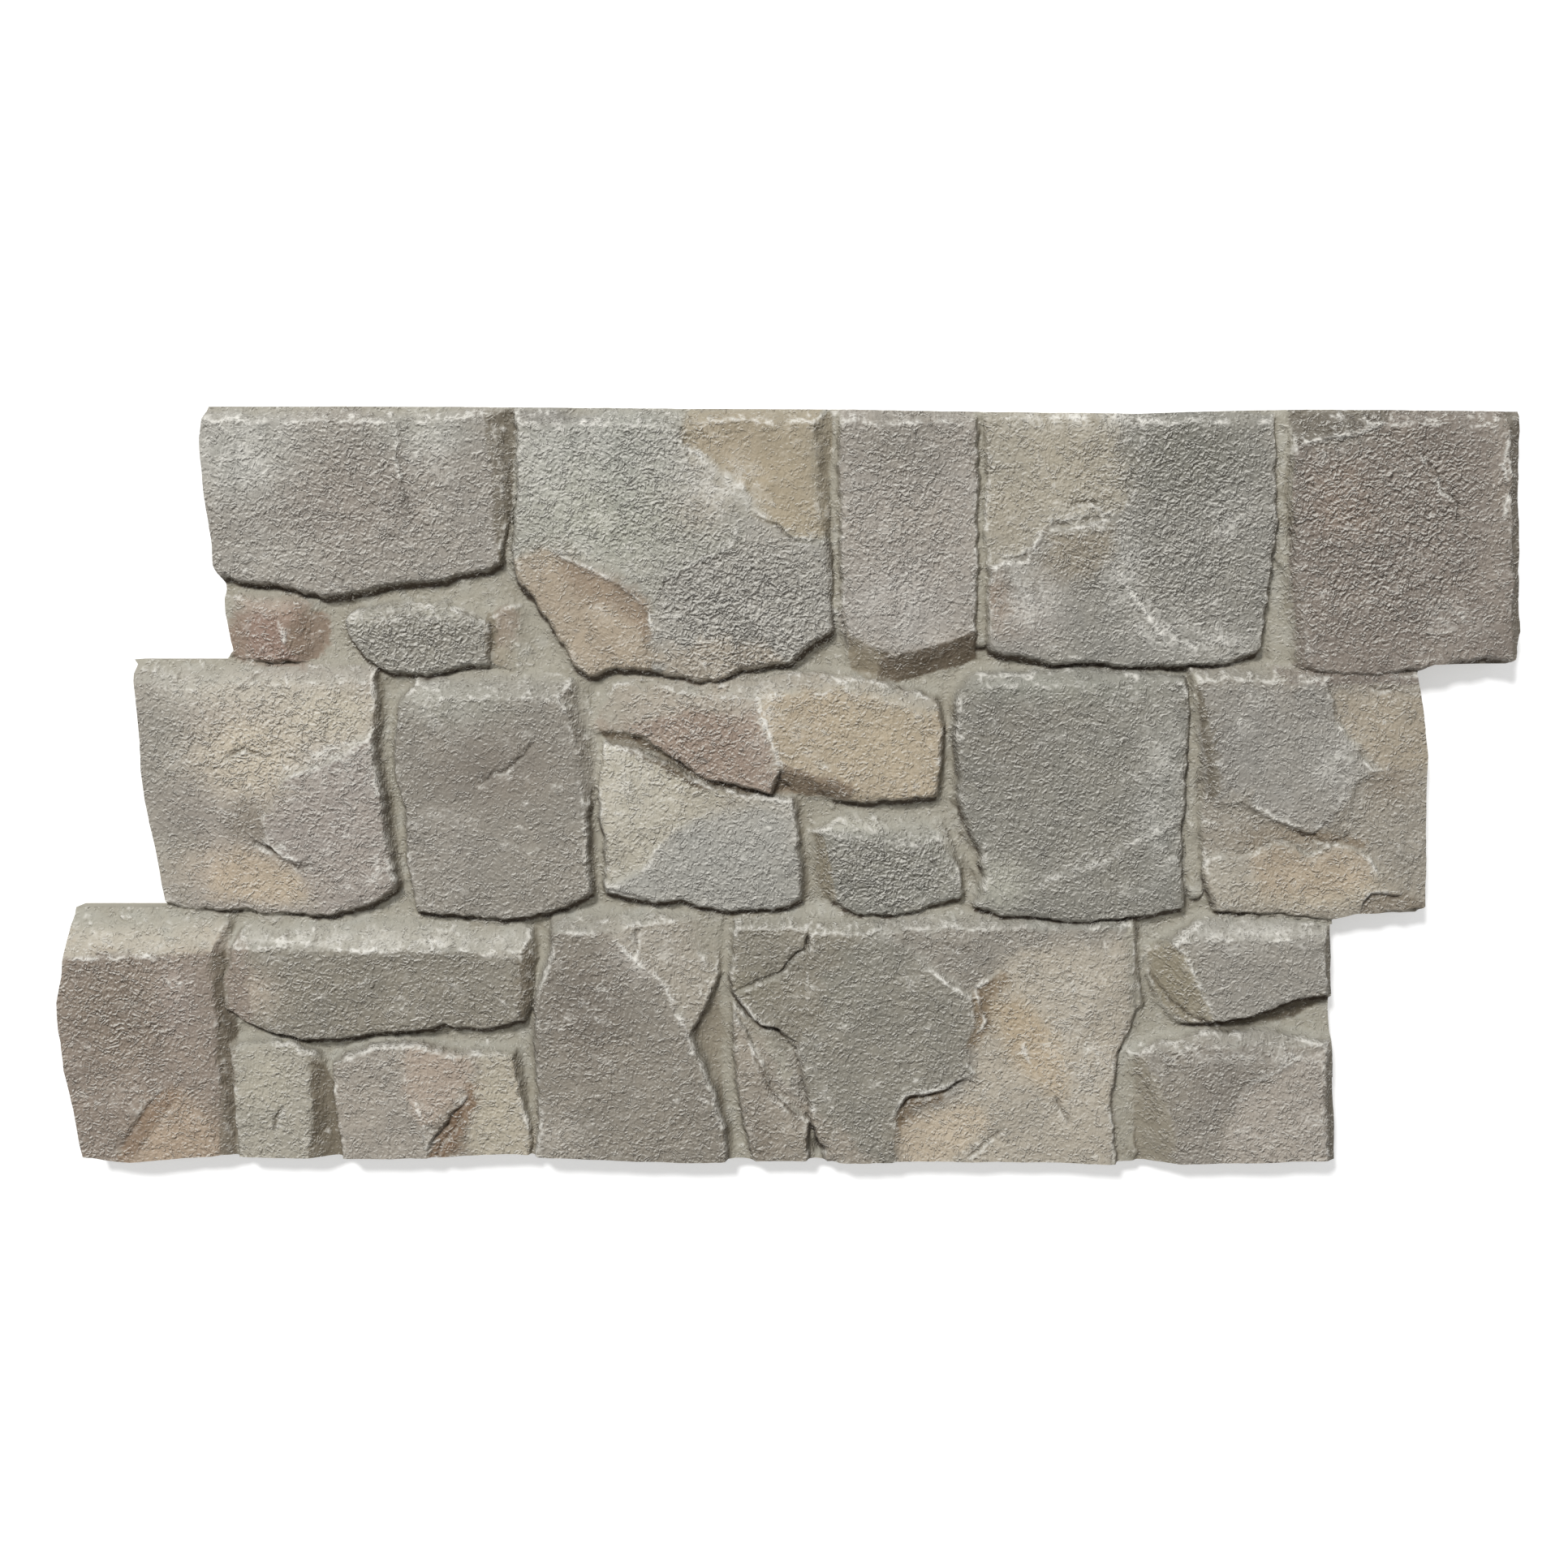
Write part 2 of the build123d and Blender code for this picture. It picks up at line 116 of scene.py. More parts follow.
def draw_heights(mesh):
    """A grid of the highest point of a mesh over each cell, and 0 where there is none."""
    heights = np.zeros((rows, columns), np.float32)
    mesh.calc_loop_triangles()
    points = np.array([v.co for v in mesh.vertices])
    for triangle in mesh.loop_triangles:
        corner = points[list(triangle.vertices)]
        grid = (corner[:, :2] - (origin_x, origin_y)) / CELL
        (x0, y0), (x1, y1), (x2, y2) = grid
        area = (x1 - x0) * (y2 - y0) - (x2 - x0) * (y1 - y0)
        if area < ROUNDING:
            continue
        left, right = int(np.ceil(grid[:, 0].min())), int(np.floor(grid[:, 0].max()))
        bottom, top = int(np.ceil(grid[:, 1].min())), int(np.floor(grid[:, 1].max()))
        gx, gy = np.meshgrid(np.arange(left, right + 1), np.arange(bottom, top + 1))
        b = ((gx - x0) * (y2 - y0) - (x2 - x0) * (gy - y0)) / area
        c = ((x1 - x0) * (gy - y0) - (gx - x0) * (y1 - y0)) / area
        inside = (b >= -ROUNDING) & (c >= -ROUNDING) & (b + c <= 1 + ROUNDING)
        z = corner[0, 2] + b * (corner[1, 2] - corner[0, 2]) + c * (corner[2, 2] - corner[0, 2])
        part = heights[bottom:top + 1, left:right + 1]
        np.maximum(part, np.where(inside, z, 0), out=part)
    return heights


panel_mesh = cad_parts["panel"].data
solid_height = draw_heights(panel_mesh)
on_panel = solid_height > EMPTY
print(f"height map {columns} x {rows}, {on_panel.mean():.0%} of it on the panel")

# %% [markdown]
# A few small tools do all of the sculpting. A box blur, run twice, is a soft blur. Smooth noise is a
# coarse grid of random numbers, stretched over the panel with soft steps between them, and hills are
# some layers of it on top of each other. Facet noise joins the random numbers with flat triangles, as
# split stone does. And a bent copy of a map is the map read a little to one side of each cell.

# %% Tools for height maps
random = np.random.default_rng(7)
cell_x = (np.arange(columns) * CELL + origin_x)[None, :].repeat(rows, 0)
cell_y = (np.arange(rows) * CELL + origin_y)[:, None].repeat(columns, 1)


def blur(field, radius):
    """A field softened over a radius in metres."""
    reach = max(1, int(round(radius / CELL)))
    for axis in (0, 1, 0, 1):
        padded = np.pad(field, [(reach + 1, reach) if a == axis else (0, 0) for a in (0, 1)], "edge")
        total = np.cumsum(padded, axis=axis, dtype=np.float64)
        upper = np.take(total, np.arange(2 * reach + 1, total.shape[axis]), axis=axis)
        lower = np.take(total, np.arange(0, total.shape[axis] - 2 * reach - 1), axis=axis)
        field = ((upper - lower) / (2 * reach + 1)).astype(np.float32)
    return field


def sample(field, x, y):
    """A field read between its cells, at places in metres."""
    u = np.clip((x - origin_x) / CELL, 0, columns - 1.001)
    v = np.clip((y - origin_y) / CELL, 0, rows - 1.001)
    i, j = u.astype(int), v.astype(int)
    s, t = u - i, v - j
    near = field[j, i] * (1 - s) + field[j, i + 1] * s
    far = field[j + 1, i] * (1 - s) + field[j + 1, i + 1] * s
    return near * (1 - t) + far * t


def smooth_noise(size, detail=1):
    """Soft random hills about -1 to 1 high, of a size in metres, with finer ones on them."""
    total = np.zeros((rows, columns), np.float32)
    for octave in range(detail):
        step = size / 2 ** octave / CELL
        lattice = random.uniform(-1, 1, (int(rows / step) + 3, int(columns / step) + 3))
        u, v = np.arange(columns) / step, np.arange(rows) / step
        i, j = u.astype(int), v.astype(int)
        s, t = u - i, v - j
        s, t = s * s * (3 - 2 * s), t * t * (3 - 2 * t)
        along = lattice[:, i] * (1 - s) + lattice[:, i + 1] * s
        total += (along[j] * (1 - t)[:, None] + along[j + 1] * t[:, None]) / 2 ** octave
    return total


def hills(*layers):
    """Layers of smooth noise, each with a height, a size in metres and a number of octaves."""
    return sum(rise * smooth_noise(size, detail) for rise, size, detail in layers)


def facet_noise(size, warp):
    """Flat facets with creases between them, about -1 to 1 high, of a size in metres."""
    lattice = random.uniform(-1, 1, (int(rows * CELL / size) + 5, int(columns * CELL / size) + 5))
    u = (cell_x - origin_x + warp * smooth_noise(size * 0.7, 2)) / size + 2
    v = (cell_y - origin_y + warp * smooth_noise(size * 0.7, 2)) / size + 2
    i, j = u.astype(int), v.astype(int)
    s, t = u - i, v - j
    here, right = lattice[j, i], lattice[j, i + 1]
    above, across = lattice[j + 1, i], lattice[j + 1, i + 1]
    lower = here + s * (right - here) + t * (above - here)
    upper = across + (1 - s) * (above - across) + (1 - t) * (right - across)
    return np.where(s + t < 1, lower, upper).astype(np.float32)


def ramp(value, start, end):
    """0 below start, 1 above end and a soft step between them."""
    t = np.clip((value - start) / (end - start), 0, 1)
    return t * t * (3 - 2 * t)


# %% [markdown]
# Outside the outline there is nothing to read, so the heights are first spread outward past the
# edge. Then the stones lose their ruled edges: reading the map with a wandering offset bends each
# edge the way split stone breaks, in sweeps with small chips on them. The same offset is used for
# everything that is drawn on the stones later, so that lines stay where their stones are. The
# bevels along the tops of the stones wander more than the rest, because mortar was smeared on them.

# %% Natural stone outlines
SWEEPS = (0.0010, 0.03, 1)
CHIPS = (0.0013, 0.009, 1)
CRUMBS = (0.0007, 0.0035, 1)
BEVEL_SWEEPS = (0.015, 2)
BEVEL_SWEEP = 0.0020
BEVEL_SLOPES = (0.2, 0.4)
WALL_SLOPES = (1.6, 2.4)


def spread_outward(field, empty, rounds):
    """Fills the empty cells next to full ones with the largest neighbour, round by round."""
    for _ in range(rounds):
        grown = field.copy()
        for shift, axis in ((1, 0), (-1, 0), (1, 1), (-1, 1)):
            np.maximum(grown, np.roll(field, shift, axis), out=grown)
        field = np.where(field > empty, field, grown)
    return field


spread_height = spread_outward(solid_height, EMPTY, MARGIN)
slope_y, slope_x = np.gradient(blur(spread_height, CELL), CELL)

# A bevel falls towards the panel's top, but less steeply than a wall
less_than_wall = ramp(slope_y, -WALL_SLOPES[1], -WALL_SLOPES[0])
bevel = blur(ramp(-slope_y, *BEVEL_SLOPES) * less_than_wall, 0.004)
offset_x = hills(SWEEPS, CHIPS, CRUMBS)
offset_y = hills(SWEEPS, CHIPS, CRUMBS) + BEVEL_SWEEP * bevel * smooth_noise(*BEVEL_SWEEPS)
bent_x, bent_y = cell_x + offset_x, cell_y + offset_y
height = sample(spread_height, bent_x, bent_y)
print(f"edges wander by up to {np.hypot(offset_x, offset_y).max() * 1000:.1f} mm")

# %% [markdown]
# The solid's stone walls lean like the walls of any mould, but on the real panel they look steeper:
# the mould maker cut in under each stone's edge and let the foot of the wall run out into the
# mortar. A curve on the height does this. It pushes the lower part of a wall down and leaves its
# top, so the edge stays in place and turns crisp.

# %% Steep walls
BED_LEVEL = 0.021
WALL_TOP = 0.034
UNDERCUT_POWER = 2.2

steep = blur(ramp(np.hypot(slope_x, slope_y), *WALL_SLOPES), CELL)
steep = sample(steep, bent_x, bent_y)
wall_share = np.clip((height - BED_LEVEL) / (WALL_TOP - BED_LEVEL), 0, 1)
undercut = (wall_share ** UNDERCUT_POWER - wall_share) * (WALL_TOP - BED_LEVEL)
height = height + steep * np.minimum(undercut, 0)
print(f"walls cut down by up to {-undercut.min() * 1000:.1f} mm")

# %% [markdown]
# A joint on the real panel is a trowelled strip of mortar: it climbs the foot of the stone below it
# in a hollow curve, and has lumps and dents of its own. Comparing the map with its blur finds the
# hollows, because there the blur is higher. A stone's brow is found the same way, where the blur is
# lower. It stays crisp, but here and there a chip has broken off it.

# %% Filled joints and chipped brows
FILLET = 0.005
FILL = 0.75
FILL_LESS_BELOW_WALLS = 0.25
BROW = 0.002
BROW_WEAR = 0.08
CHIP_DEPTH = 0.5
TROWEL_MARKS = ((0.0013, 0.022, 2), (0.0007, 0.007, 2))
MORTAR_CRUMB = 0.0012
MORTAR_CRUMBS = (0.0046, 2)

fall_y, fall_x = np.gradient(blur(height, CELL), CELL)
stone_part = ramp(height, BED_LEVEL + 0.003, BED_LEVEL + 0.009)
foot = 1 - stone_part
fill = FILL - FILL_LESS_BELOW_WALLS * ramp(fall_y, 0.1, 0.5)
height = height + fill * foot * np.clip(blur(height, FILLET) - height, 0, None)
brow = np.clip(height - blur(height, BROW), 0, None)
chipped = ramp(hills((1.0, 0.010, 1), (0.6, 0.004, 1)), 0.45, 0.75)
height = height - brow * (BROW_WEAR + CHIP_DEPTH * chipped)
trowel = hills(*TROWEL_MARKS)
crumbs = MORTAR_CRUMB * ramp(smooth_noise(*MORTAR_CRUMBS), 0.5, 1.0)
height = height + foot * (trowel + crumbs)
print(f"joints on {foot[on_panel].mean():.0%} of the panel, chips on {chipped.mean():.0%} of the brows")

# %% [markdown]
# The stones were split by hand, and the marks of that are particular to each: a crack, a thin ledge
# where a flake came away, a ridge between two facets. They are drawn as lines on the picture of the
# front. For each line the cells near it get their distance from it, the side that they are on and
# how far along it they lie, and a short formula turns those three into a shape. Along ledges and
# cracks the same numbers also give a painted shadow, and along a ledge's lip a painted highlight.

# %% Lines on the stones
def window_on(points, reach):
    """The part of the map within reach of some places."""
    (left, bottom), (right, top) = points.min(0) - reach, points.max(0) + reach
    first_row, last_row = int((bottom - origin_y) / CELL), int((top - origin_y) / CELL) + 2
    first_column, last_column = int((left - origin_x) / CELL), int((right - origin_x) / CELL) + 2
    return slice(max(first_row, 0), last_row), slice(max(first_column, 0), last_column)


def beside(line, reach):
    """The cells near a line: a window on the map, signed distances, and shares of its length.

    A distance is positive on the left of the line, going from its first point to its last.
    """
    points = np.array([spot(point) for point in line])
    window = window_on(points, reach)
    x, y = bent_x[window], bent_y[window]
    nearest = np.full(x.shape, np.inf)
    side = np.ones(x.shape)
    share = np.zeros(x.shape)
    runs = np.hypot(*np.diff(points, axis=0).T)
    for k, (start, run) in enumerate(zip(points, runs)):
        step = points[k + 1] - start
        along = ((x - start[0]) * step[0] + (y - start[1]) * step[1]) / run ** 2
        along = np.clip(along, 0, 1)
        gap_x, gap_y = x - start[0] - along * step[0], y - start[1] - along * step[1]
        distance = np.hypot(gap_x, gap_y)
        closer = distance < nearest
        nearest = np.where(closer, distance, nearest)
        side = np.where(closer, np.sign(step[0] * gap_y - step[1] * gap_x), side)
        share = np.where(closer, (runs[:k].sum() + along * run) / runs.sum(), share)
    return window, nearest * side, share


def fade(share):
    """1 along most of a line, and 0 at its two ends."""
    return ramp(share, 0.0, 0.18) * ramp(1 - share, 0.0, 0.18)


def within(outline, soft):
    """The cells in a closed outline: a window on the map, and 1 inside, 0 outside, soft between."""
    window, distance, _ = beside(outline + outline[:1], soft)
    x, y = bent_x[window], bent_y[window]
    inside = np.zeros(x.shape, bool)
    corners = [spot(point) for point in outline]
    for (x0, y0), (x1, y1) in zip(corners, corners[1:] + corners[:1]):
        if y0 == y1:
            continue
        inside ^= ((y0 > y) != (y1 > y)) & (x < (x1 - x0) * (y - y0) / (y1 - y0) + x0)
    depth = np.where(inside, np.abs(distance), -np.abs(distance))
    return window, ramp(depth, -soft / 2, soft / 2)


LEDGE_REACH = 0.014
LEDGE_FACE = 0.0008
FULL_LEDGE = 0.003
FULL_CRACK = 0.002
# The two maps below hold the painted shadow below ledges and the painted shade in cracks, and the chalk on
# ridge crests with the painted highlight along ledge lips; these are their widths and places
CHALK_AND_HIGHLIGHT_WIDTH = 0.0014
HIGHLIGHT_PLACE = 0.001
SHADOW_WIDTH = 0.0014
SHADOW_PLACE = 0.0012
painted_shadow = np.zeros((rows, columns), np.float32)
chalk_and_highlight = np.zeros((rows, columns), np.float32)


def ledge(line, rise):
    """The ground on the left of a line stands higher at the line, and eases back away from it, with a
    painted shadow below the step and a painted highlight along its lip.
    """
    window, distance, share = beside(line, 3 * LEDGE_REACH)
    lift = np.tanh(distance / LEDGE_FACE) * np.exp(-np.abs(distance) / LEDGE_REACH)
    height[window] += 0.5 * rise * lift * fade(share)
    strength = fade(share) * min(1, rise / FULL_LEDGE)
    shadow = strength * np.exp(-((distance + SHADOW_PLACE) / SHADOW_WIDTH) ** 2)
    painted_shadow[window] = np.maximum(painted_shadow[window], shadow)
    shine = strength * np.exp(-((distance - HIGHLIGHT_PLACE) / CHALK_AND_HIGHLIGHT_WIDTH) ** 2)
    chalk_and_highlight[window] = np.maximum(chalk_and_highlight[window], shine)


def crack(line, depth, half_width=0.0013):
    """A narrow groove, with painted shade in it."""
    window, distance, share = beside(line, 4 * half_width)
    groove = np.exp(-(distance / half_width) ** 2) * fade(share)
    height[window] -= depth * groove
    painted_shadow[window] = np.maximum(painted_shadow[window], groove * min(1, depth / FULL_CRACK))


def ridge(line, rise, half_width=0.006):
    """A low crest, sharp on top, between two facets."""
    window, distance, share = beside(line, 4 * half_width)
    height[window] += rise * np.exp(-np.abs(distance) / half_width) * fade(share)
    chalk_and_highlight[window] = np.maximum(chalk_and_highlight[window], fade(share) * np.exp(-(distance / CHALK_AND_HIGHLIGHT_WIDTH) ** 2))


def knob(place, rise, size):
    """A round bump, or a pit where the rise is below zero."""
    x, y = spot(place)
    height[:] += rise * np.exp(-((bent_x - x) ** 2 + (bent_y - y) ** 2) / size ** 2)


# %% Ledges
# Each ledge has its height in metres and its line on the picture
LEDGES = {
    "corner stone step": (0.0014, [(505, 645), (492, 580), (487, 517)]),
    "broad stone, over the coarse corner": (0.0012, [
        (805, 750), (820, 715), (870, 690), (900, 675), (918, 640)]),
    "broad stone, over the tan corner": (0.0013, [
        (665, 675), (720, 700), (765, 722), (800, 755), (806, 800)]),
    "broad stone, under the tan plate": (0.0012, [(920, 630), (955, 642), (980, 663), (1018, 662)]),
    "stepped stone": (0.0016, [
        (1222, 691), (1250, 686), (1272, 678), (1284, 655), (1298, 642), (1330, 640), (1355, 634),
        (1373, 634), (1388, 609)]),
    "last stone, high shelf": (0.0026, [(1797, 640), (1795, 622), (1775, 606), (1770, 580), (1740, 555)]),
    "last stone, shoulder": (0.0014, [(1598, 552), (1640, 541), (1668, 538), (1700, 524), (1712, 512)]),
    "end stone, plate foot": (0.002, [(318, 1030), (335, 1045), (352, 1058), (385, 1064)]),
    "end stone, step at the rim": (0.0012, [(288, 852), (322, 828)]),
    "flaked stone, plate foot": (0.0016, [(1522, 982), (1565, 1006), (1620, 1027), (1662, 975)]),
    "flaked stone, second shelf": (0.0012, [(1612, 1052), (1590, 1038), (1570, 1035), (1545, 1050)]),
    "flaked stone, broken corner": (0.003, [(1678, 1128), (1680, 1112), (1690, 1100), (1735, 1106)]),
    "first stone, broken strip": (0.0009, [(132, 1420), (160, 1390), (185, 1360), (198, 1345), (218, 1343)]),
    "cleft stone, left lip": (0.0014, [(520, 1425), (545, 1388), (562, 1370), (582, 1345)]),
    "shards, upper lip": (0.002, [(897, 1215), (930, 1260), (960, 1270), (987, 1291)]),
    "wide stone, foot of the grey plate": (0.002, [(1100, 1378), (1115, 1352), (1165, 1340), (1198, 1322)]),
    "wide stone, rim of the notch": (0.0016, [(1198, 1282), (1215, 1262), (1203, 1218), (1228, 1199)]),
    "cap stone, lower shelf": (0.0012, [(1530, 1350), (1550, 1335), (1585, 1315), (1612, 1300)]),
}
LEDGE_GAIN = 2.1
for rise, line in LEDGES.values():
    ledge(line, LEDGE_GAIN * rise)

# %% Cracks
# Each crack has its depth and its line
CRACKS = {
    "broad stone, top nick": (0.0022, [(842, 524), (841, 536), (846, 548)]),
    "broad stone, under the tan plate": (0.0011, [(925, 634), (955, 645), (980, 666), (1015, 665)]),
    "broad stone, foot": (0.0009, [(792, 778), (797, 800), (805, 826)]),
    "stepped stone, mark": (0.0015, [(1318, 622), (1340, 617), (1358, 621)]),
    "stepped stone, second mark": (0.0008, [(1346, 631), (1362, 634)]),
    "last stone, hook": (0.0014, [(1786, 608), (1797, 624), (1796, 642), (1786, 648)]),
    "end stone, chip": (0.0018, [(272, 938), (300, 921), (327, 936)]),
    "end stone, under the plate": (0.0022, [(308, 1034), (330, 1047), (345, 1056)]),
    "end stone, under the plate, right": (0.0018, [(356, 1064), (372, 1069), (388, 1066)]),
    "end stone, mark": (0.0010, [(178, 947), (196, 954)]),
    "square stone": (0.0019, [(588, 972), (612, 951), (635, 943), (650, 922), (664, 908)]),
    "sill, left foot": (0.0016, [(744, 1094), (768, 1100), (794, 1107)]),
    "flaked stone, mark": (0.0017, [(1688, 844), (1704, 849), (1720, 851)]),
    "flaked stone, notch": (0.0018, [(1615, 1030), (1640, 1042), (1668, 1026)]),
    "first stone, strip": (0.0010, [(216, 1347), (195, 1349), (186, 1363), (162, 1394), (138, 1424)]),
    "first stone, strip, right": (0.0009, [(222, 1349), (205, 1370), (186, 1398), (160, 1430)]),
    "long stone, first break": (0.0012, [(351, 1148), (356, 1170)]),
    "long stone, second break": (0.0012, [(392, 1149), (387, 1172)]),
    "long stone, third break": (0.0013, [(531, 1147), (537, 1174)]),
    "low stone": (0.0020, [(349, 1363), (340, 1376), (338, 1397)]),
    "cleft": (0.0016, [(584, 1342), (566, 1368), (548, 1388), (530, 1412), (522, 1430)]),
    "cleft, floor": (0.0012, [(574, 1366), (560, 1392), (544, 1408), (534, 1438)]),
    "cleft, upper chip": (0.0014, [(518, 1384), (538, 1390), (560, 1385)]),
    "dark stone, split": (0.0012, [(784, 1143), (780, 1182)]),
    "shards, split": (0.0026, [
        (1006, 1140), (990, 1170), (974, 1182), (966, 1198), (940, 1206), (903, 1222)]),
    "shards, second split": (0.0025, [(903, 1236), (930, 1262), (960, 1275), (988, 1294)]),
    "shards, low split": (0.0018, [(925, 1292), (950, 1345), (984, 1382)]),
    "wide stone, under the plate": (0.0018, [(1104, 1372), (1118, 1357), (1165, 1345), (1196, 1328)]),
    "wide stone, right": (0.0017, [(1300, 1350), (1310, 1370), (1320, 1387)]),
    "wide stone, foot": (0.0016, [(1188, 1430), (1215, 1409), (1243, 1389)]),
    "wide stone, top chip": (0.0013, [(1158, 1163), (1185, 1172), (1203, 1169)]),
    "cap stone, left foot": (0.0018, [(1420, 1190), (1432, 1216), (1446, 1236), (1470, 1256), (1492, 1261)]),
    "mortar, upper stroke": (0.0012, [(1168, 985), (1182, 1000), (1190, 1022)]),
    "mortar, middle stroke": (0.0012, [(1178, 1016), (1192, 1034), (1200, 1056)]),
    "mortar, lower stroke": (0.0010, [(1186, 1062), (1200, 1078), (1206, 1098)]),
}
CRACK_GAIN = 1.5
for depth, line in CRACKS.values():
    crack(line, CRACK_GAIN * depth)

# %% Ridges, knobs and pits
# Each ridge has its height and its line
RIDGES = {
    "last stone, right": (0.0016, [
        (1848, 516), (1857, 545), (1850, 575), (1857, 610), (1852, 640), (1858, 662), (1846, 684)]),
    "cap stone, left": (0.0010, [(1452, 1166), (1468, 1190), (1480, 1218), (1494, 1254)]),
    "rose chip": (0.0016, [(336, 752), (348, 776), (352, 800), (364, 818)]),
    "grey chip, top": (0.0010, [(430, 764), (470, 752), (520, 744), (560, 750), (600, 764)]),
    "broad stone": (0.0007, [(842, 550), (860, 562), (890, 585), (922, 616)]),
    "stepped stone, low": (0.0007, [(1375, 695), (1400, 740), (1430, 780), (1495, 805)]),
    "end stone, plate": (0.0010, [(332, 962), (360, 945), (400, 925), (456, 909)]),
    "end stone, foot": (0.0008, [(460, 1032), (468, 1080), (438, 1094)]),
    "lintel": (0.0016, [(928, 852), (944, 890), (957, 930), (966, 958)]),
    "wedge stone": (0.0014, [(1045, 998), (1070, 1018), (1097, 1042)]),
    "block": (0.0007, [(1258, 1102), (1290, 1085), (1360, 1062), (1400, 1035), (1457, 1008)]),
    "first stone, brow": (0.0012, [
        (72, 1184), (100, 1181), (150, 1180), (185, 1178), (197, 1182), (215, 1172), (240, 1168)]),
    "long stone, brow": (0.0010, [
        (291, 1164), (327, 1159), (353, 1162), (395, 1165), (437, 1171), (484, 1170), (525, 1158),
        (562, 1167), (601, 1178), (646, 1181)]),
    "first stone": (0.0010, [(193, 1184), (206, 1210), (224, 1240)]),
    "cleft stone": (0.0010, [(502, 1294), (497, 1320), (505, 1345), (522, 1384)]),
    "dark stone": (0.0012, [(738, 1144), (780, 1182), (815, 1210), (850, 1277)]),
    "shard": (0.0014, [(923, 1280), (955, 1345), (986, 1378)]),
    "wide stone, grey plate": (0.0012, [(1113, 1162), (1140, 1190), (1197, 1233)]),
    "wide stone, right": (0.0011, [(1258, 1276), (1265, 1300), (1280, 1330), (1297, 1348)]),
}
for rise, line in RIDGES.values():
    ridge(line, rise)

# Each knob has its height, its radius and its place, and a pit has a height below zero
KNOBS = {
    "last stone, pit": (-0.0012, 0.0035, (1670, 710)),
    "last stone, bump": (0.0012, 0.004, (1790, 765)),
    "block, bump": (0.0010, 0.004, (1435, 945)),
    "flaked stone, nub": (0.0035, 0.009, (1703, 952)),
    "pocket below the shards": (-0.010, 0.006, (1012, 1416)),
    "pocket, lower end": (-0.008, 0.005, (1026, 1432)),
    "corner stone, blister": (0.0010, 0.003, (515, 628)),
    "cap stone, nub": (0.0022, 0.006, (1397, 1146)),
}
for rise, size, place in KNOBS.values():
    knob(place, rise, size)

# The bead between the broad and the narrow stone runs out into the joint below them, and its end is
# rubbed soft
BEAD_RISE = 0.006
BEAD_HALF_WIDTH = 0.0035
BEAD_END = (1034, 750)
RUBBED = 0.008
run_out, distance, share = beside([(1034, 738), (1038, 770), (1046, 806)], RUBBED)
height[run_out] += BEAD_RISE * np.exp(-(distance / BEAD_HALF_WIDTH) ** 2) * (1 - share) * ramp(share, 0, 0.1)
x, y = spot(BEAD_END)
near_end = np.exp(-((cell_x - x) ** 2 + (cell_y - y) ** 2) / RUBBED ** 2)
height += near_end * (blur(height, 0.003) - height)
print(f"{len(LEDGES)} ledges, {len(CRACKS)} cracks, {len(RIDGES)} ridges, {len(KNOBS)} knobs and pits")

# %% [markdown]
# Split stone is never flat. Broad swells cross each face, small facets meet in creases, and shallow
# flakes leave terraces: noise that is held back below a level gives a flat place with a step round
# it. The finest part of the grain is too small for the mesh and is left to the paint shader, but its
# larger lumps are here.

# %% Swells, flakes and lumps
SWELLS = ((0.0008, 0.06, 1), (0.0004, 0.02, 1))
BROAD_FACET = 0.0023
SMALL_FACET = 0.0012
TERRACE = 0.0008
LUMPS = (0.00034, 0.0055, 2)
SETTLE = 0.0006

swell = hills(*SWELLS)
facets = BROAD_FACET * facet_noise(0.042, 0.010) + SMALL_FACET * facet_noise(0.018, 0.005)
flake = smooth_noise(0.034, 3)
terrace = TERRACE * (ramp(flake, 0.05, 0.12) + ramp(flake, 0.55, 0.60))
lumps = hills(LUMPS)
height = height + stone_part * (swell + facets + terrace - SETTLE + lumps) + foot * 0.3 * swell
print(f"facets of up to {facets.max() * 1000:.1f} mm, terraces of {TERRACE * 1000:.1f} mm")

# %% [markdown]
# The workshop paints the panel in the colour of its mortar, lets it dry, and then gives each stone a
# body colour and a few soft clouds of other colours with an airbrush. The colours are kept on the
# same grid as the heights. To know which stone a cell belongs to, each stone gets a seed, and the
# seeds grow over the raised cells until they meet the joints.

# %% The stones and their colours
MORTAR = (169, 164, 149)

